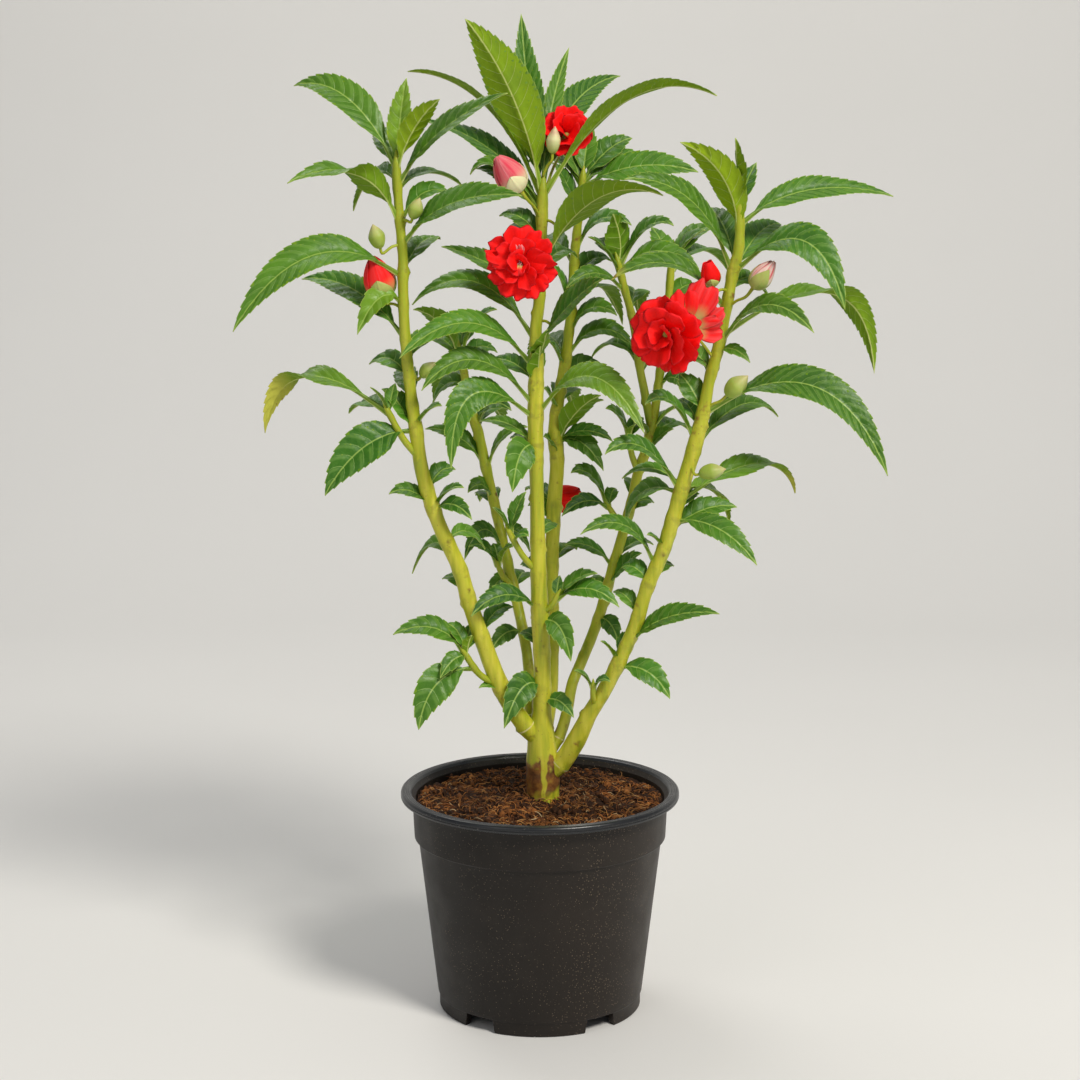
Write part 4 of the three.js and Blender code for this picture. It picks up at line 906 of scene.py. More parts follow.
def wrapped_sheet(parts, bloom, along, lift, angle, tone, slot=0):
    """A thin curved sheet round a furled bud, from grids of its share of the way up
    the egg, its height off the egg and its angle: rows go up and columns across."""
    low, high, girth = bloom["egg"]
    egg = np.sin(math.pi * np.clip(along, 0, 1) ** 0.72) ** 0.8 * 0.92 + 0.1
    z = low + (high - low) * along - 0.4 * slot
    radius, angle, z = np.broadcast_arrays(egg * girth + lift, angle, z)
    rows, columns = radius.shape
    share = np.linspace(0, 1, rows)[:, None]
    across = np.linspace(-1, 1, columns)
    edge = (1 - np.abs(across) ** 4) * (1 - share ** 10) * PETAL_THICKNESS / 2
    sheets = []
    for side in (1, -1):
        reach = np.maximum(radius + side * edge, 0.15)
        sheet = stacked(reach * np.cos(angle), reach * np.sin(angle), z)
        sheets.append(sheet @ turn_to(bloom["face"]).T + bloom["centre"])
    uv = stacked(across, 0.1 + 0.9 * share)
    first = parts.add(sheets, np.concatenate([uv, uv]), tone)
    grid = grid_faces(rows, columns)
    parts.span(grid, first, slot)
    parts.span(grid[:, ::-1], first + radius.size, slot)
    ids = np.arange(radius.size).reshape(rows, columns)
    loop = np.concatenate([ids[0, :-1], ids[:-1, -1], ids[-1, :0:-1], ids[:0:-1, 0]])
    beside = np.roll(loop, -1)
    parts.span(stacked(beside, loop, loop + radius.size, beside + radius.size), first, slot)


def furled_bud(parts, bloom, luck):
    """A bud about to open: broad petals furled round each other into an egg, each
    one's edge lying a little outside the next, held by pointed sepals."""
    share = np.linspace(0, 1, FURLED_ROWS)[:, None]
    across = np.linspace(-1, 1, FURLED_COLUMNS)
    side = np.abs(across)
    for i in range(bloom["furled"]):
        angle = i * FURLED_STEP + luck.uniform(-0.2, 0.2) + across * FURLED_REACH
        along = share * (1 - 0.1 * side ** 3 - 0.03 * luck.random() - 0.05 * (i % 2))
        lift = bloom.get("flare", 0.0) * along ** 6 + 0.55 * (across + 1) / 2 - 0.22 * i
        lift = lift + 0.12 * np.sin(5 * across + 7 * share + i) * along
        wrapped_sheet(parts, bloom, along, lift, angle, (luck.random(), 0.6, bloom["pale"], 0))
    for i in range(SEPALS):
        angle = (i + luck.uniform(-0.1, 0.1)) / SEPALS * ROUND + 0.5
        angle = angle + across * (3.4 / SEPALS) * (1 - share ** 1.7) ** 0.8
        along = share * bloom["sepal_reach"] * luck.uniform(0.9, 1.1) + 0.01
        lift = 0.75 - 0.3 * side ** 2 + 0.3 * soft_bump(across, 0, 0.1)
        tone = (0.12 * luck.random(), bloom.get("cream", 0.15), luck.random(), 1)
        wrapped_sheet(parts, bloom, along, lift, angle, tone, slot=1)


def build_bloom(bloom, stem_parts):
    """The petals, sepals and anthers of one bloom, and its stalk on its stem."""
    luck = np.random.default_rng(bloom["seed"])
    bloom = {"pale": 0.0, **bloom}
    bloom["centre"] = centre = np.array(bloom["centre"], float)
    bloom["face"] = face = unit(bloom["face"])
    core = bloom["core"]
    furled = "egg" in bloom
    low = bloom["egg"][0] if furled else -core * 0.25
    parts = Parts()
    if furled:
        furled_bud(parts, bloom, luck)
    for ring, (count, length, width, opening, wave, wrap) in enumerate(bloom.get("rings", [])):
        for i in range(count):
            spin = ((i + (ring % 2) / 2) / count) * ROUND + 0.35 * ring + luck.uniform(-0.1, 0.1)
            size = (
                length * luck.uniform(0.93, 1.05), width * luck.uniform(0.92, 1.08),
                opening + luck.uniform(-7, 5) * wave,
            )
            petal(parts, bloom, size, spin, 9 + luck.uniform(-6, 6) * wave, luck, wave, wrap)
    if "fan" in bloom:
        fan_centre, fan_face, blades = bloom["fan"]
        for spin, length, width, opening, pale in blades:
            fan = {**bloom, "centre": fan_centre, "face": unit(fan_face), "pale": pale}
            petal(parts, fan, (length, width, opening), spin, 4, luck, 1.3, 0.2)
    if not furled:
        long = bloom.get("sepal_long", core * 1.75)
        size = (long, long * 0.62, bloom.get("sepal_open", 60))
        calyx = {**bloom, "centre": centre + face * low, "core": core * 0.6}
        for i in range(SEPALS):
            petal(parts, calyx, size, i / SEPALS * ROUND + 0.5, 0, luck, 0.15, 0.5, sepal=True)
    turn = turn_to(face)
    anthers = bloom.get("anthers", 0)
    for i in range(anthers):
        spin = i / anthers * ROUND
        spread = core * (0.16 + 0.3 * (i % 3) / 2)
        height = core * (1.02 + 0.3 * luck.random())
        local = np.array([spread * math.cos(spin), spread * math.sin(spin), height])
        anther(parts, centre + turn @ local, turn @ (local * (0.7, 0.7, 1)), luck)
    share = np.linspace(-1, 1, 17)
    knob = centre + face * (share * core * 0.95 + furled * (low + core))[:, None]
    girth = core * 0.62 * np.sqrt(np.clip(1 - share ** 2, 0.01, 1))
    tube(parts, knob, girth, 18, (0.2, 0, 0, 0), slot=1)
    stalk(stem_parts, bloom["foot"], centre + face * min(low + 0.4, -core * 0.8), face, 12, 0.5)
    return parts


def body_at(z):
    """The radius of the pot's body at a height."""
    share = (z - FOOT_STEP_HEIGHT) / (COLLAR_FOOT_HEIGHT - FOOT_STEP_HEIGHT)
    return BODY_FOOT_RADIUS + share * (BODY_TOP_RADIUS - BODY_FOOT_RADIUS)


def collar_at(z):
    """The radius of the pot's collar band at a height."""
    share = (z - COLLAR_FOOT_HEIGHT) / (POT_HEIGHT - COLLAR_FOOT_HEIGHT)
    return COLLAR_FOOT_RADIUS + share * (COLLAR_TOP_RADIUS - COLLAR_FOOT_RADIUS)


def pot_profile():
    """The pot's section from the middle of its underside round to the middle of
    its floor, as radius and height, and whether the stretch from there is lip.
    step, collar, lip and top are heights, edge and ring are radii."""
    step = FOOT_STEP_HEIGHT
    collar = COLLAR_FOOT_HEIGHT
    lip = POT_HEIGHT - LIP_HEIGHT
    top = POT_HEIGHT
    edge = LIP_RADIUS
    ring = FOOT_RADIUS - FOOT_RING_WIDTH
    outside = [
        (0.5, FOOT_HEIGHT), (20, FOOT_HEIGHT), (ring - 1, FOOT_HEIGHT), (ring, FOOT_HEIGHT - 0.5),
        (ring + 0.8, 0.5), (ring + 1.2, 0), (FOOT_RADIUS - 0.6, 0), (FOOT_RADIUS, 0.6),
        (FOOT_RADIUS, step - 0.9), (FOOT_RADIUS + 0.25, step - 0.45),
        (body_at(step) - 0.15, step - 0.1), (body_at(step + 0.5), step + 0.5),
        *[(body_at(z), z) for z in np.linspace(step + 3, collar - 1, 16)],
        (body_at(collar) + 0.1, collar - 0.25), (body_at(collar) + 0.6, collar),
        (collar_at(collar) - 0.5, collar + 0.1), (collar_at(collar), collar + 0.7),
        *[(collar_at(z), z) for z in np.linspace(collar + 3, lip - 1, 6)],
        (collar_at(lip) + 0.3, lip - 0.25), (collar_at(lip) + 1, lip),
    ]
    rolled = [
        (edge - 0.9, lip), (edge - 0.25, lip + 0.25), (edge, lip + 0.9),
        (edge, lip + 1.3), (edge - 0.3, lip + 1.5), (edge - 0.3, lip + 1.8),
        (edge, lip + 2), (edge, top - 1.5), (edge - 0.2, top - 0.7), (edge - 0.75, top - 0.15),
        *[
            (edge - groove - inward, top - deep)
            for groove in LIP_GROOVES
            for inward, deep in ((0, 0), (0.18, 0.22), (0.4, 0.22), (0.58, 0))
        ],
        (edge - LIP_WIDTH + 0.7, top - 0.1), (edge - LIP_WIDTH + 0.1, top - 0.6),
    ]
    inside = [
        (edge - LIP_WIDTH - 0.4, top - 1.6), (collar_at(lip) - WALL, lip),
        (collar_at(collar) - WALL, collar + 1), (body_at(collar) - WALL, collar - 1),
        *[(body_at(z) - WALL, z) for z in (60, 30, FLOOR_TOP + 1)],
        (body_at(FLOOR_TOP) - WALL - 1.5, FLOOR_TOP), (20, FLOOR_TOP), (0.5, FLOOR_TOP),
    ]
    is_lip = np.repeat([0, 1, 0], [len(outside), len(rolled), len(inside)])
    return np.array(outside + rolled + inside), is_lip


def pot_cuts():
    """What is cut out of the pot: its foot notches, the nick and its drain holes."""
    cuts = Parts()
    half = NOTCH_WIDTH / 2
    roof = FOOT_HEIGHT - NOTCH_ROOF
    section = [(-half, -1), (half, -1), (half - NOTCH_LEAN, roof), (-half + NOTCH_LEAN, roof)]
    turns = [i / NOTCHES * ROUND for i in range(NOTCHES)]
    wedges = [(section, turn, FOOT_RADIUS - 8) for turn in turns]
    wedges.append((NICK, math.pi, FOOT_RADIUS - 1.5))
    for section, turn, inner in wedges:
        count = len(section)
        first = cuts.add([
            (x * math.cos(turn) - out * math.sin(turn), x * math.sin(turn) + out * math.cos(turn), z)
            for out in (FOOT_RADIUS + 1, inner)
            for x, z in section
        ])
        cuts.span([np.arange(count), np.arange(count)[::-1] + count], first)
        beside = (np.arange(count) + 1) % count
        cuts.span([(i, i + count, j + count, j) for i, j in enumerate(beside)], first)
    for i in range(DRAINS):
        turn = (i / DRAINS + DRAIN_TURN) * ROUND
        foot = np.array([DRAIN_CIRCLE * math.cos(turn), DRAIN_CIRCLE * math.sin(turn), 0])
        line = foot + np.array([[0, 0, 3.0], [0, 0, 12.0]])
        tube(cuts, line, np.full(2, DRAIN_RADIUS), 32)
    return cuts.build("pot_cuts")


def pot_piece(materials):
    """The pot, turned finely round its section and then cut."""
    rows, is_lip = pot_profile()
    angle = round_angles(POT_SIDES)
    radius, height = rows.T[..., None]
    turned_pot = Parts()
    rings = stacked(radius * np.cos(angle), radius * np.sin(angle), height)
    turned_pot.add_rings(rings, slot=np.repeat(is_lip[:-1], POT_SIDES))
    piece = turned_pot.build("pot_turned", materials)
    cutter = pot_cuts()
    for part in (cutter, piece):
        shape = bmesh.new()
        shape.from_mesh(part.data)
        bmesh.ops.recalc_face_normals(shape, faces=shape.faces)
        shape.to_mesh(part.data)
        shape.free()
    boolean = piece.modifiers.new("cuts", "BOOLEAN")
    boolean.operation = "DIFFERENCE"
    boolean.solver = "EXACT"
    boolean.object = cutter
    graph = bpy.context.evaluated_depsgraph_get()
    whole = piece.evaluated_get(graph)
    done = bpy.data.meshes.new_from_object(whole, preserve_all_data_layers=True, depsgraph=graph)
    used = [piece.data, cutter.data]
    piece.modifiers.clear()
    piece.data = done
    bpy.data.objects.remove(cutter)
    for mesh in used:
        bpy.data.meshes.remove(mesh)
    done.shade_smooth()
    done.set_sharp_from_angle(angle=math.radians(SHARP_DEGREES))
    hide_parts("pot")


def soil_height(x, y):
    """The crumbly top of the soil: waves, a mound at the trunk, and grit."""
    radius = math.hypot(x, y)
    angle = math.atan2(y, x)
    waves = math.sin(3 * angle + 0.09 * radius) + 0.7 * math.sin(7 * angle - 0.21 * radius + 1.3)
    mound = 1.6 * math.exp(-((radius / 30) ** 2))
    edge = 1 - 0.7 * max(0.0, min(1.0, (radius - 58) / 8))
    rough = noise.noise(Vector((x * 0.09, y * 0.09, 3.7))) * 2.8 * edge
    rough += noise.noise(Vector((x * 0.24, y * 0.24, 9.1))) * 2.4
    grit = noise.noise(Vector((x * 0.8, y * 0.8, 5.3))) * 0.8
    return SOIL_HEIGHT + 0.5 * waves + mound + rough + grit


def soil_spot(luck, margin):
    """A place on the soil, evenly spread up to a margin from its edge."""
    radius = (SOIL_RADIUS - margin) * math.sqrt(luck.random())
    turn = luck.uniform(0, ROUND)
    x, y = radius * math.cos(turn), radius * math.sin(turn)
    return x, y, soil_height(x, y)


def soil_pieces(soil_material, fibre_material):
    """The soil's bed with the crumbs on it, and the fibres that lie over it."""
    luck = np.random.default_rng(SOIL_SEED)
    bed = Parts()
    angles = round_angles(SOIL_SIDES)
    foot = SOIL_RADIUS * 0.985
    rings = [[(foot * math.cos(a), foot * math.sin(a), SOIL_HEIGHT - SOIL_DEPTH) for a in angles]]
    for radius in np.linspace(SOIL_RADIUS, 3, SOIL_RINGS):
        ring = [(radius * math.cos(a), radius * math.sin(a)) for a in angles]
        rings.append([(x, y, soil_height(x, y)) for x, y in ring])
    bed.add_rings(np.array(rings), tone=(0.1, 0, 0, 0))

    golden = (1 + 5 ** 0.5) / 2
    corners = [(-1, golden, 0), (1, golden, 0), (-1, -golden, 0), (1, -golden, 0)]
    corners = unit(np.concatenate([np.roll(corners, turn, axis=1) for turn in range(3)]))
    for _ in range(SOIL_CRUMBS):
        x, y, z = soil_spot(luck, 1.2)
        size = luck.uniform(0.3, 0.9) + 1.8 * luck.random() ** 6
        lump = corners * luck.uniform(0.65, 1.25, (12, 1)) * size * luck.uniform(0.6, 1.2, 3)
        place = (x, y, z + size * luck.uniform(0.0, 0.5))
        first = bed.add(lump + place, tone=(luck.random(), 0, 0, 0))
        bed.span(CRUMB_FACES, first)
    piece = bed.build("soil_bed", [soil_material])
    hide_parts("soil")

    fibres = Parts()
    share = np.linspace(-0.5, 0.5, 8)
    for _ in range(SOIL_FIBRES):
        x, y, z = soil_spot(luck, 3.0)
        length = luck.uniform(2.2, 6.0) + 6 * luck.random() ** 5
        heading = luck.uniform(0, ROUND) + luck.uniform(-2.6, 2.6) * share
        dx = np.cumsum(np.cos(heading)) * (length / 7)
        dy = np.cumsum(np.sin(heading)) * (length / 7)
        tilt = luck.uniform(-0.6, 0.6)
        arch = luck.uniform(0.0, 1.5)
        height = z + 0.35 + tilt * share * length + arch * (1 - 4 * share ** 2)
        line = stacked(x + dx - dx.mean(), y + dy - dy.mean(), height)
        if np.hypot(line[:, 0], line[:, 1]).max() > SOIL_RADIUS - 0.8:
            continue
        girth = luck.uniform(0.11, 0.27) * (1 - 0.5 * np.abs(share * 2) ** 2)
        tube(fibres, line, girth, 4, (luck.random(), 1, 0, 0))
    piece = fibres.build("soil_fibres", [fibre_material])


class Look:
    """A material under construction: a Principled shader, its nodes, and the base
    colour so far."""

    def __init__(self, name, **fixed):
        self.material = bpy.data.materials.new(name)
        self.material.use_nodes = True
        self.tree = self.material.node_tree
        self.shader = self.tree.nodes["Principled BSDF"]
        for key, value in fixed.items():
            self.shader.inputs[key.replace("_", " ")].default_value = value
        self.place = self.node("ShaderNodeTexCoord").outputs["Object"]
        self.base = None

    def node(self, kind, inputs=(), **settings):
        """A new node with its settings and inputs."""
        made = self.tree.nodes.new(kind)
        for key, value in settings.items():
            setattr(made, key, value)
        for key, value in dict(inputs).items():
            self.put(value, made.inputs[key])
        return made

    def put(self, value, socket):
        """Links an output to a socket, or sets it to a number or a colour code."""
        if isinstance(value, bpy.types.NodeSocket):
            self.tree.links.new(value, socket)
        else:
            socket.default_value = colour(value) if isinstance(value, str) else value

    def tone(self):
        """The four numbers of the tone attribute: three channels and the alpha."""
        source = self.node("ShaderNodeAttribute", attribute_name="tone")
        split = self.node("ShaderNodeSeparateColor", {"Color": source.outputs["Color"]})
        return [*split.outputs, source.outputs["Alpha"]]

    def uv(self):
        """Both numbers of the UV, and the UV as a vector."""
        source = self.node("ShaderNodeUVMap", uv_map="UVMap").outputs["UV"]
        split = self.node("ShaderNodeSeparateXYZ", {"Vector": source})
        return split.outputs["X"], split.outputs["Y"], source

    def right(self):
        """How far to the right a place is, in metres."""
        return self.node("ShaderNodeSeparateXYZ", {"Vector": self.place}).outputs["X"]

    def math(self, operation, a, b=0.0, clamp=False):
        """One sum of one or two values."""
        made = self.node("ShaderNodeMath", {0: a, 1: b}, operation=operation, use_clamp=clamp)
        return made.outputs[0]

    def scaled(self, value, factor, plus=0.0):
        """The value times a factor, plus a number or another value."""
        inputs = {0: value, 1: factor, 2: plus}
        return self.node("ShaderNodeMath", inputs, operation="MULTIPLY_ADD").outputs[0]

    def ease(self, value, low, high):
        """0 below low and 1 above high, or the other way round if low > high."""
        start, end = (0.0, 1.0) if low < high else (1.0, 0.0)
        inputs = {"Value": value, "From Min": min(low, high), "From Max": max(low, high)}
        inputs.update({"To Min": start, "To Max": end})
        made = self.node("ShaderNodeMapRange", inputs, interpolation_type="SMOOTHSTEP")
        return made.outputs["Result"]

    def noise(self, scale, detail, vector=None, stretch=None, roughness=0.5):
        """Noise over the object's places, or over another vector."""
        vector = self.place if vector is None else vector
        if stretch is not None:
            mapping = self.node("ShaderNodeMapping", {"Vector": vector, "Scale": stretch})
            vector = mapping.outputs["Vector"]
        inputs = {"Vector": vector, "Scale": scale, "Detail": detail, "Roughness": roughness}
        return self.node("ShaderNodeTexNoise", inputs).outputs["Fac"]

    def patches(self, scale, detail, low, high):
        """Soft-edged patches: 1 where the noise is above high, 0 where it is below low."""
        return self.ease(self.noise(scale, detail), low, high)

    def mix(self, factor, a, b):
        """Two colours mixed: the first at a factor of 0, the second at 1."""
        inputs = {"Factor": factor, "A": a, "B": b}
        made = self.node("ShaderNodeMix", inputs, data_type="RGBA", blend_type="MIX")
        return made.outputs["Result"]

    def tint(self, mask, shade, strength=1.0):
        """Mixes a shade into the base colour where the mask is."""
        factor = mask if strength == 1.0 else self.scaled(mask, strength)
        self.base = self.mix(factor, self.base, shade)

    def ramp(self, value, *stops):
        """The colour of a value, from stops of a place and a shade."""
        made = self.node("ShaderNodeValToRGB", {"Fac": value})
        band = made.color_ramp
        while len(band.elements) < len(stops):
            band.elements.new(0.5)
        for element, (at, shade) in zip(band.elements, stops):
            element.position = at
            element.color = colour(shade)
        return made.outputs["Color"]

    def bump(self, height, distance, strength):
        """Shades the surface as if a height of 1 were raised by a distance."""
        inputs = {"Height": height, "Distance": distance, "Strength": strength}
        made = self.node("ShaderNodeBump", inputs)
        self.put(made.outputs["Normal"], self.shader.inputs["Normal"])

    def end(self, value, span, low):
        """The finished material. Its roughness is a value times a span, plus low."""
        self.put(self.base, self.shader.inputs["Base Color"])
        self.put(self.scaled(value, span, low), self.shader.inputs["Roughness"])
        return self.material


def colour(code):
    """A linear colour from a six-digit code."""
    channels = [int(code[i:i + 2], 16) / 255 for i in (0, 2, 4)]
    return (*[c / 12.92 if c <= 0.04045 else ((c + 0.055) / 1.055) ** 2.4 for c in channels], 1.0)


def leaf_look(name, specular, old, young, dark, veins, rib, margin, dried, rough):
    """One face of the leaves: the shades of old and young blades, dark patches, a painted
    highlight on the upper face between its veins, and the strength and shade of its
    veins, rib and margin."""
    look = Look(name, Specular_IOR_Level=specular)
    age, luck, dry, half = look.tone()
    across, phase, _ = look.uv()
    side = look.math("ABSOLUTE", across)
    from_rib = look.math("MULTIPLY", side, half)
    wave = look.math("ABSOLUTE", look.math("SINE", look.scaled(phase, math.pi)))
    on_vein = look.math("MULTIPLY", look.ease(wave, 0.16, 0.0), look.ease(side, 0.97, 0.6))
    look.base = look.mix(luck, *old)
    look.tint(age, young)
    look.tint(look.patches(*dark[0]), *dark[1:])
    if name == "leaf_upper":
        # A painted highlight on the upper face: a light band on one side of each side vein, where the
        # quilting would catch the light.
        painted_sheen = look.ease(look.math("SINE", look.scaled(phase, ROUND)), 0.0, 1.0)
        look.tint(look.math("MULTIPLY", painted_sheen, look.ease(side, 0.08, 0.3)), "8CB056", 0.24)
        look.tint(look.patches(420, 4, 0.45, 0.8), "6E9A3A", 0.25)
    look.tint(on_vein, *veins)
    look.tint(look.ease(from_rib, 0.55, 0.2), *rib)
    look.tint(look.ease(look.math("SUBTRACT", half, from_rib), 0.45, 0.0), *margin)
    look.tint(dry, dried)
    if name == "leaf_upper":
        look.tint(look.math("MULTIPLY", look.patches(160, 2, 0.6, 0.68), dry), "7A5226")
        look.bump(look.scaled(on_vein, -0.8, look.noise(900, 3)), 0.0002, 0.7)
    else:
        look.bump(look.math("ADD", look.noise(800, 3), on_vein), 0.0002, 0.7)
    return look.end(look.noise(rough[0], 3), 0.2, rough[1])


def leaf_looks():
    """The upper and the under side of the leaves."""
    return [
        leaf_look(
            "leaf_upper", 0.34, ("2E6016", "48801A"), "86AC22", ((70, 3, 0.35, 0.7), "1E4A16", 0.4),
            ("9CBD66", 0.62), ("A4C05C", 0.7), ("B4C860", 0.75), "C2BC4E", (300, 0.3),
        ),
        leaf_look(
            "leaf_under", 0.22, ("568010", "6E9416"), "8CA810", ((90, 3, 0.4, 0.75), "5E7D2A", 0.35),
            ("BCCB78", 0.55), ("C9D47E", 0.85), ("A9BA5E", 0.4), "BABA48", (260, 0.48),
        ),
    ]


def stem_look():
    """A pale green skin, streaked along, with bark at its foot, scars and freckles."""
    look = Look("stem", Specular_IOR_Level=0.4, Subsurface_Weight=0.2, Subsurface_Scale=0.003)
    tall, node, seam, thick = look.tone()
    streak = look.noise(260, 3, stretch=(1, 1, 0.09))
    look.base = look.ramp(streak, (0.3, "9AA424"), (0.5, "C0BE30"), (0.72, "D6CF4C"))
    look.tint(look.ease(thick, 0.5, 0.24), "8CA022", 0.6)
    # The brown skin at the trunk's foot, with ragged ends and a green stripe
    brown = look.noise(190, 5, roughness=0.62)
    bark = look.ramp(brown, (0.36, "553418"), (0.5, "7E5228"), (0.62, "9A6E30"), (0.76, "A48E38"))
    upper_end = look.scaled(look.noise(110, 3), 38.0, look.scaled(tall, BARK_SPAN, -19.0))
    lower_end = look.scaled(look.noise(70, 2), 26.0, look.scaled(tall, BARK_SPAN, -13.0))
    skin = look.math("MULTIPLY", look.ease(upper_end, 35.0, 30.0), look.ease(lower_end, 10.0, 15.0))
    stripe = look.scaled(look.noise(150, 2), 0.006, look.right())
    stripe = look.math("ABSOLUTE", look.math("SUBTRACT", stripe, STRIPE_AT))
    off_stripe = look.math("ADD", look.ease(stripe, 0.0009, 0.0022), 0.12, clamp=True)
    skin = look.math("MULTIPLY", skin, off_stripe)
    look.tint(skin, bark)
    off_seam = look.scaled(look.math("ABSOLUTE", look.math("SUBTRACT", seam, 0.5)), SEAM_SPAN)
    line = look.math("MULTIPLY", look.ease(off_seam, 0.55, 0.25), look.patches(200, 2, 0.3, 0.5))
    look.tint(line, "E4DCA8", 0.8)
    look.tint(look.math("MULTIPLY", node, look.patches(330, 2, 0.42, 0.56)), "70682C", 0.65)
    look.tint(look.patches(700, 1, 0.69, 0.76), "8A6B34", 0.5)
    rough_skin = look.math("MULTIPLY", skin, look.noise(500, 4))
    look.bump(look.math("ADD", streak, rough_skin), 0.00025, 0.6)
    return look.end(streak, 0.2, 0.32)


def sepal_look():
    """The green of buds and sepals, paler or redder where the tone says so."""
    look = Look("sepal", Specular_IOR_Level=0.4, Subsurface_Weight=0.1, Subsurface_Scale=0.002)
    redness, cream, _, _ = look.tone()
    look.base = look.mix(look.noise(180, 3, stretch=(1, 1, 0.35)), "7F9C2A", "B4C25A")
    look.tint(cream, "F0E6B8")
    look.tint(look.math("MULTIPLY", redness, look.patches(220, 2, 0.25, 0.6)), "C24A5C")
    look.bump(look.noise(700, 3), 0.0002, 0.6)
    return look.end(look.noise(300, 2), 0.2, 0.4)


def petal_look(name, deep, bright, rim, blush, foot):
    """A petal: deep at its foot, bright beyond, with fine veins and a lighter rim. A
    pale one is streaked with blush and has a foot of its own shade."""
    look = Look(name, Specular_IOR_Level=0.14, Subsurface_Weight=0.08, Subsurface_Scale=0.0015)
    pale = look.tone()[2]
    across, share, uv = look.uv()
    veins = look.noise(1.0, 3, uv, (26, 2.2, 1))
    look.base = look.mix(look.ease(share, 0.1, 0.6), deep, bright)
    look.tint(look.ease(veins, 0.45, 0.75), rim, 0.1)
    side = look.ease(look.math("ABSOLUTE", across), 0.8, 1.0)
    look.tint(look.math("MAXIMUM", look.ease(share, 0.8, 1.0), side), rim, 0.2)
    look.tint(look.patches(240, 3, 0.4, 0.75), deep, 0.18)
    streaks = look.ease(look.noise(1.0, 2, uv, (4.5, 0.8, 1)), 0.28, 0.72)
    look.tint(look.math("MULTIPLY", look.math("MINIMUM", pale, 1.0), streaks), blush)
    look.tint(look.math("MULTIPLY", look.ease(share, 0.62, 0.18), look.ease(pale, 0.0, 0.12)), foot)
    look.bump(look.math("ADD", veins, look.noise(900, 2)), 0.0002, 0.6)
    return look.end(veins, 0.2, 0.5)


def anther_look():
    """The pinkish white of the anthers."""
    look = Look("anther", Specular_IOR_Level=0.3)
    look.base = look.mix(look.tone()[0], "E3B2BC", "F3D8DC")
    look.tint(look.patches(900, 2, 0.5, 0.7), "D48E9C")
    look.bump(look.noise(1200, 2), 0.0002, 0.6)
    return look.end(look.noise(500, 2), 0.2, 0.45)


def pot_looks():
    """The dusty black plastic of the pot's body, with painted shade to its left and a painted light to
    its right, and its cleaner, shinier lip.
    """
    body = Look("pot_body", Specular_IOR_Level=0.3)
    body.base = body.mix(body.noise(25, 3), "1A1511", "2A231D")
    right = body.right()
    # Painted shade darkens the body towards the left, and a painted light lightens it towards the
    # right.
    body.tint(body.ease(right, 0.01, -0.06), "0C0906", 0.6)
    body.tint(body.ease(right, 0.01, 0.06), "3E3730", 0.3)
    # Specks of dust, one in each cell, larger in some places and to the right
    inputs = {"Vector": body.place, "Scale": 760.0, "Randomness": 1.0}
    cell = body.node("ShaderNodeTexVoronoi", inputs, feature="F1")
    thick = body.scaled(body.ease(right, -0.02, 0.03), 0.35, body.patches(34, 2, 0.3, 0.75))
    size = body.scaled(body.math("ADD", thick, 1.05), 0.115)
    dust = body.math("LESS_THAN", cell.outputs["Distance"], size)
    dust = body.math("MULTIPLY", dust, body.patches(1400, 1, 0.44, 0.54))
    body.tint(dust, "8A7A68", 0.5)
    body.tint(body.ease(body.noise(60, 4, roughness=0.6), 0.5, 0.85), "4E463C", 0.12)
    body.bump(body.noise(1100, 3), 0.00008, 0.5)

    lip = Look("pot_lip", Specular_IOR_Level=0.6)
    lip.base = lip.mix(lip.noise(30, 3), "0E1013", "181B20")
    lip.tint(lip.patches(900, 2, 0.66, 0.74), "7F7A70", 0.5)
    lip.bump(lip.noise(700, 3), 0.00006, 0.5)
    return [
        body.end(body.noise(80, 4), 0.25, body.scaled(dust, 0.3, 0.36)),
        lip.end(lip.noise(120, 4), 0.22, 0.2),
    ]


def soil_looks():
    """The soil's crumbs and its fibres, each lighter or darker by its tone."""
    bed = Look("soil_grains", Specular_IOR_Level=0.2)
    shades = ((0.0, "2A190F"), (0.35, "4E2F1B"), (0.7, "8C562B"), (1.0, "BA783C"))
    bed.base = bed.ramp(bed.tone()[0], *shades)
    bed.tint(bed.patches(160, 4, 0.3, 0.75), "2E1C11")
    bed.tint(bed.patches(30, 2, 0.42, 0.6), "1E130C", 0.55)
    bed.tint(bed.patches(900, 2, 0.6, 0.75), "8A5E3E", 0.6)
    bed.bump(bed.noise(900, 4), 0.0006, 0.8)

    fibre = Look("soil_fibre", Specular_IOR_Level=0.25)
    shades = ((0.0, "4A2B19"), (0.35, "96592B"), (0.7, "C67E3C"), (0.93, "D39A58"), (1.0, "E6CDA0"))
    fibre.base = fibre.ramp(fibre.tone()[0], *shades)
    fibre.tint(fibre.noise(500, 2), "3E2616", 0.35)
    fibre.tint(fibre.patches(30, 2, 0.42, 0.6), "24160D", 0.5)
    fibre.bump(fibre.noise(1500, 2), 0.0001, 0.5)
    return bed.end(bed.noise(400, 2), 0.15, 0.8), fibre.end(fibre.noise(600, 2), 0.15, 0.7)


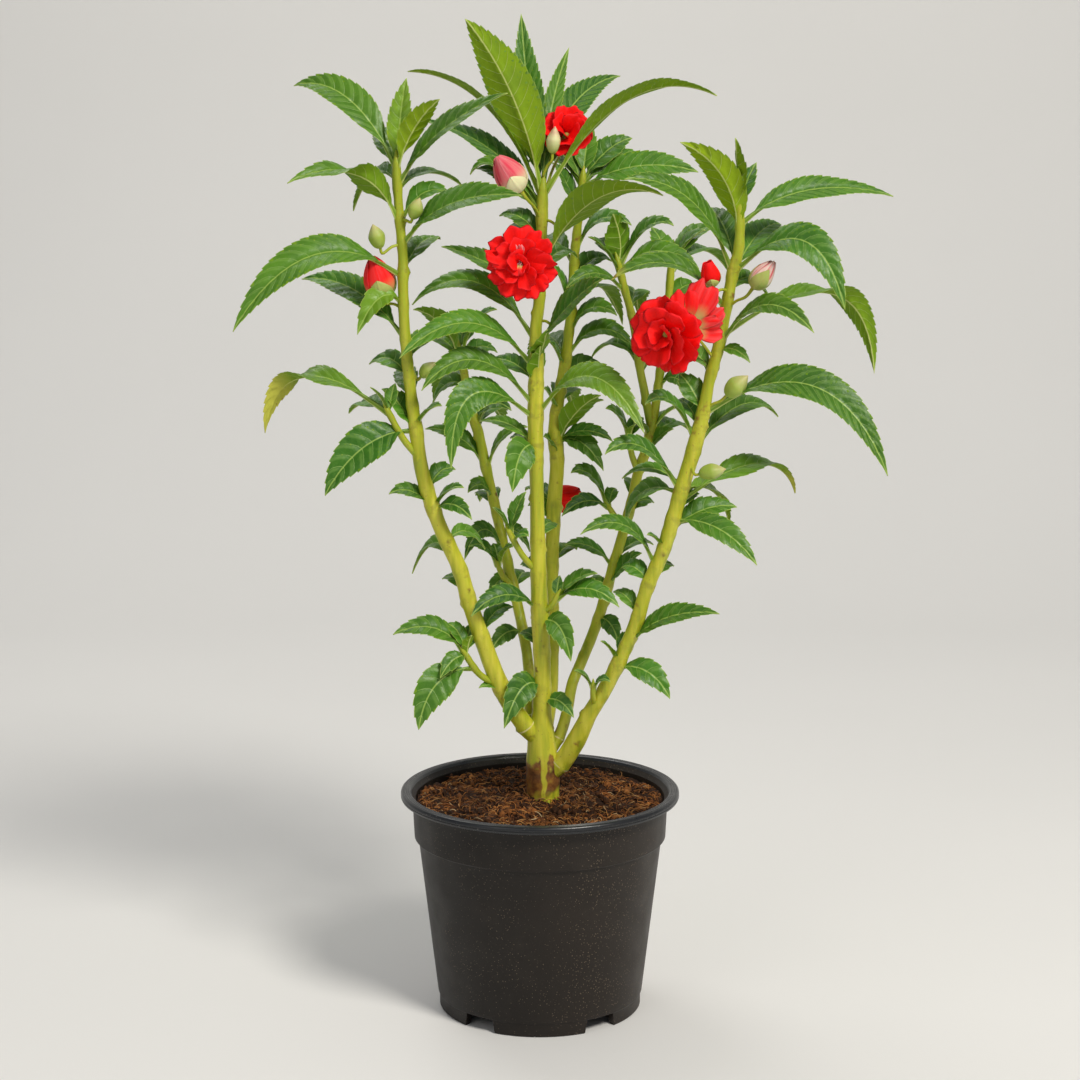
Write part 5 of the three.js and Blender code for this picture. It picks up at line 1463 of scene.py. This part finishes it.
def build_plant():
    """Every stem with its leaves, buds and blooms. A stem's shafts are one piece, its
    leaves another, and each bloom is a piece of its own."""
    luck = np.random.default_rng(PLANT_SEED)
    blades = leaf_looks()
    sepal = sepal_look()
    anther_material = anther_look()
    petals = {
        "red": petal_look("petal_red", "DC0A07", "FF1410", "F83C50", "F0A8AC", "C8C87A"),
        "pink": petal_look("petal_pink", "D01E38", "E63C54", "F29AAA", "F6E6D8", "E8E2B4"),
    }
    stems = {axis[0]: Parts() for axis in AXES}
    for name, parts in stems.items():
        leaves = Parts()
        for stem, route, rows in AXES:
            if stem != name:
                continue
            shaft(parts, stem, route, rows, luck)
            for row in rows:
                usual = (DARK_LEAF * luck.uniform(0, 2), 0.0)
                age, dry = LEAF_LOOKS.get(row[:2], usual)
                turn, roll = LEAF_ROLLS.get(row[:2], (row[7], 0.0))
                leaf(leaves, foot_on(route, row[0]), row, luck, age, dry, turn, roll)
        piece = leaves.build("leaves_" + name, blades)
    for stem, *bud in GREEN_BUDS:
        green_bud(stems[stem], *bud, luck)
    for bloom in BLOOMS:
        parts = build_bloom(bloom, stems[bloom["stem"]])
        materials = [petals[bloom["look"]], sepal, anther_material]
        piece = parts.build(bloom["name"] + "_petals", materials)
        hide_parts(bloom["name"])
    stem_material = stem_look()
    for name, parts in stems.items():
        piece = parts.build("stem_" + name, [stem_material, sepal])
        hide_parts("leafy_stem_" + name)


def build_stage():
    """A pale floor that curves up into a backdrop, soft lights and the camera."""
    centre = Vector(POT_AXIS)
    bends = np.linspace(0.1, math.pi / 2, 12)
    section = [
        (FLOOR_FRONT, 0.0), (FLOOR_BACK, 0.0),
        *[(FLOOR_BACK + COVE_RADIUS * math.sin(a), COVE_RADIUS * (1 - math.cos(a))) for a in bends],
        (FLOOR_BACK + COVE_RADIUS, BACKDROP_TOP),
    ]
    ends = (-FLOOR_HALF_WIDTH, FLOOR_HALF_WIDTH)
    points = [(x + centre.x, y + centre.y, z) for y, z in section for x in ends]
    faces = [(i, i + 1, i + 3, i + 2) for i in range(0, len(points) - 2, 2)]
    mesh = bpy.data.meshes.new("studio_floor")
    mesh.from_pydata(points, [], faces)
    mesh.shade_smooth()
    floor = new_object("studio_floor", mesh)
    look = Look("studio_floor", Specular_IOR_Level=0.2)
    look.base = look.mix(look.noise(3, 2), "E6E5E3", "EAE9E7")
    mesh.materials.append(look.end(look.noise(6, 2), 0.05, 0.75))

    for name, place, size, power, tint in LIGHTS:
        light = bpy.data.lights.new(name, "AREA")
        light.shape = "DISK"
        light.size = size
        light.energy = power
        light.color = tint
        lamp = new_object(name, light)
        lamp.location = centre + Vector(place)
        aim = centre + Vector((0, 0, LIGHT_AIM)) - lamp.location
        lamp.rotation_euler = aim.to_track_quat("-Z", "Y").to_euler()

    world = bpy.data.worlds.new("studio_air")
    world.use_nodes = True
    air = world.node_tree.nodes["Background"]
    air.inputs["Color"].default_value = AIR_TINT
    air.inputs["Strength"].default_value = AIR_STRENGTH
    bpy.context.scene.world = world

    camera = bpy.data.cameras.new("camera")
    camera.sensor_width = SENSOR
    camera.lens = LENS
    seat = new_object("camera", camera)
    seat.location = centre + Vector((0, -CAMERA_BACK, CAMERA_HEIGHT)) * MM
    seat.rotation_euler = (math.radians(90 - CAMERA_PITCH), 0, 0)
    bpy.context.scene.camera = seat
    bpy.context.scene.view_settings.view_transform = "Standard"


pot_piece(pot_looks())
soil_pieces(*soil_looks())
build_plant()
build_stage()
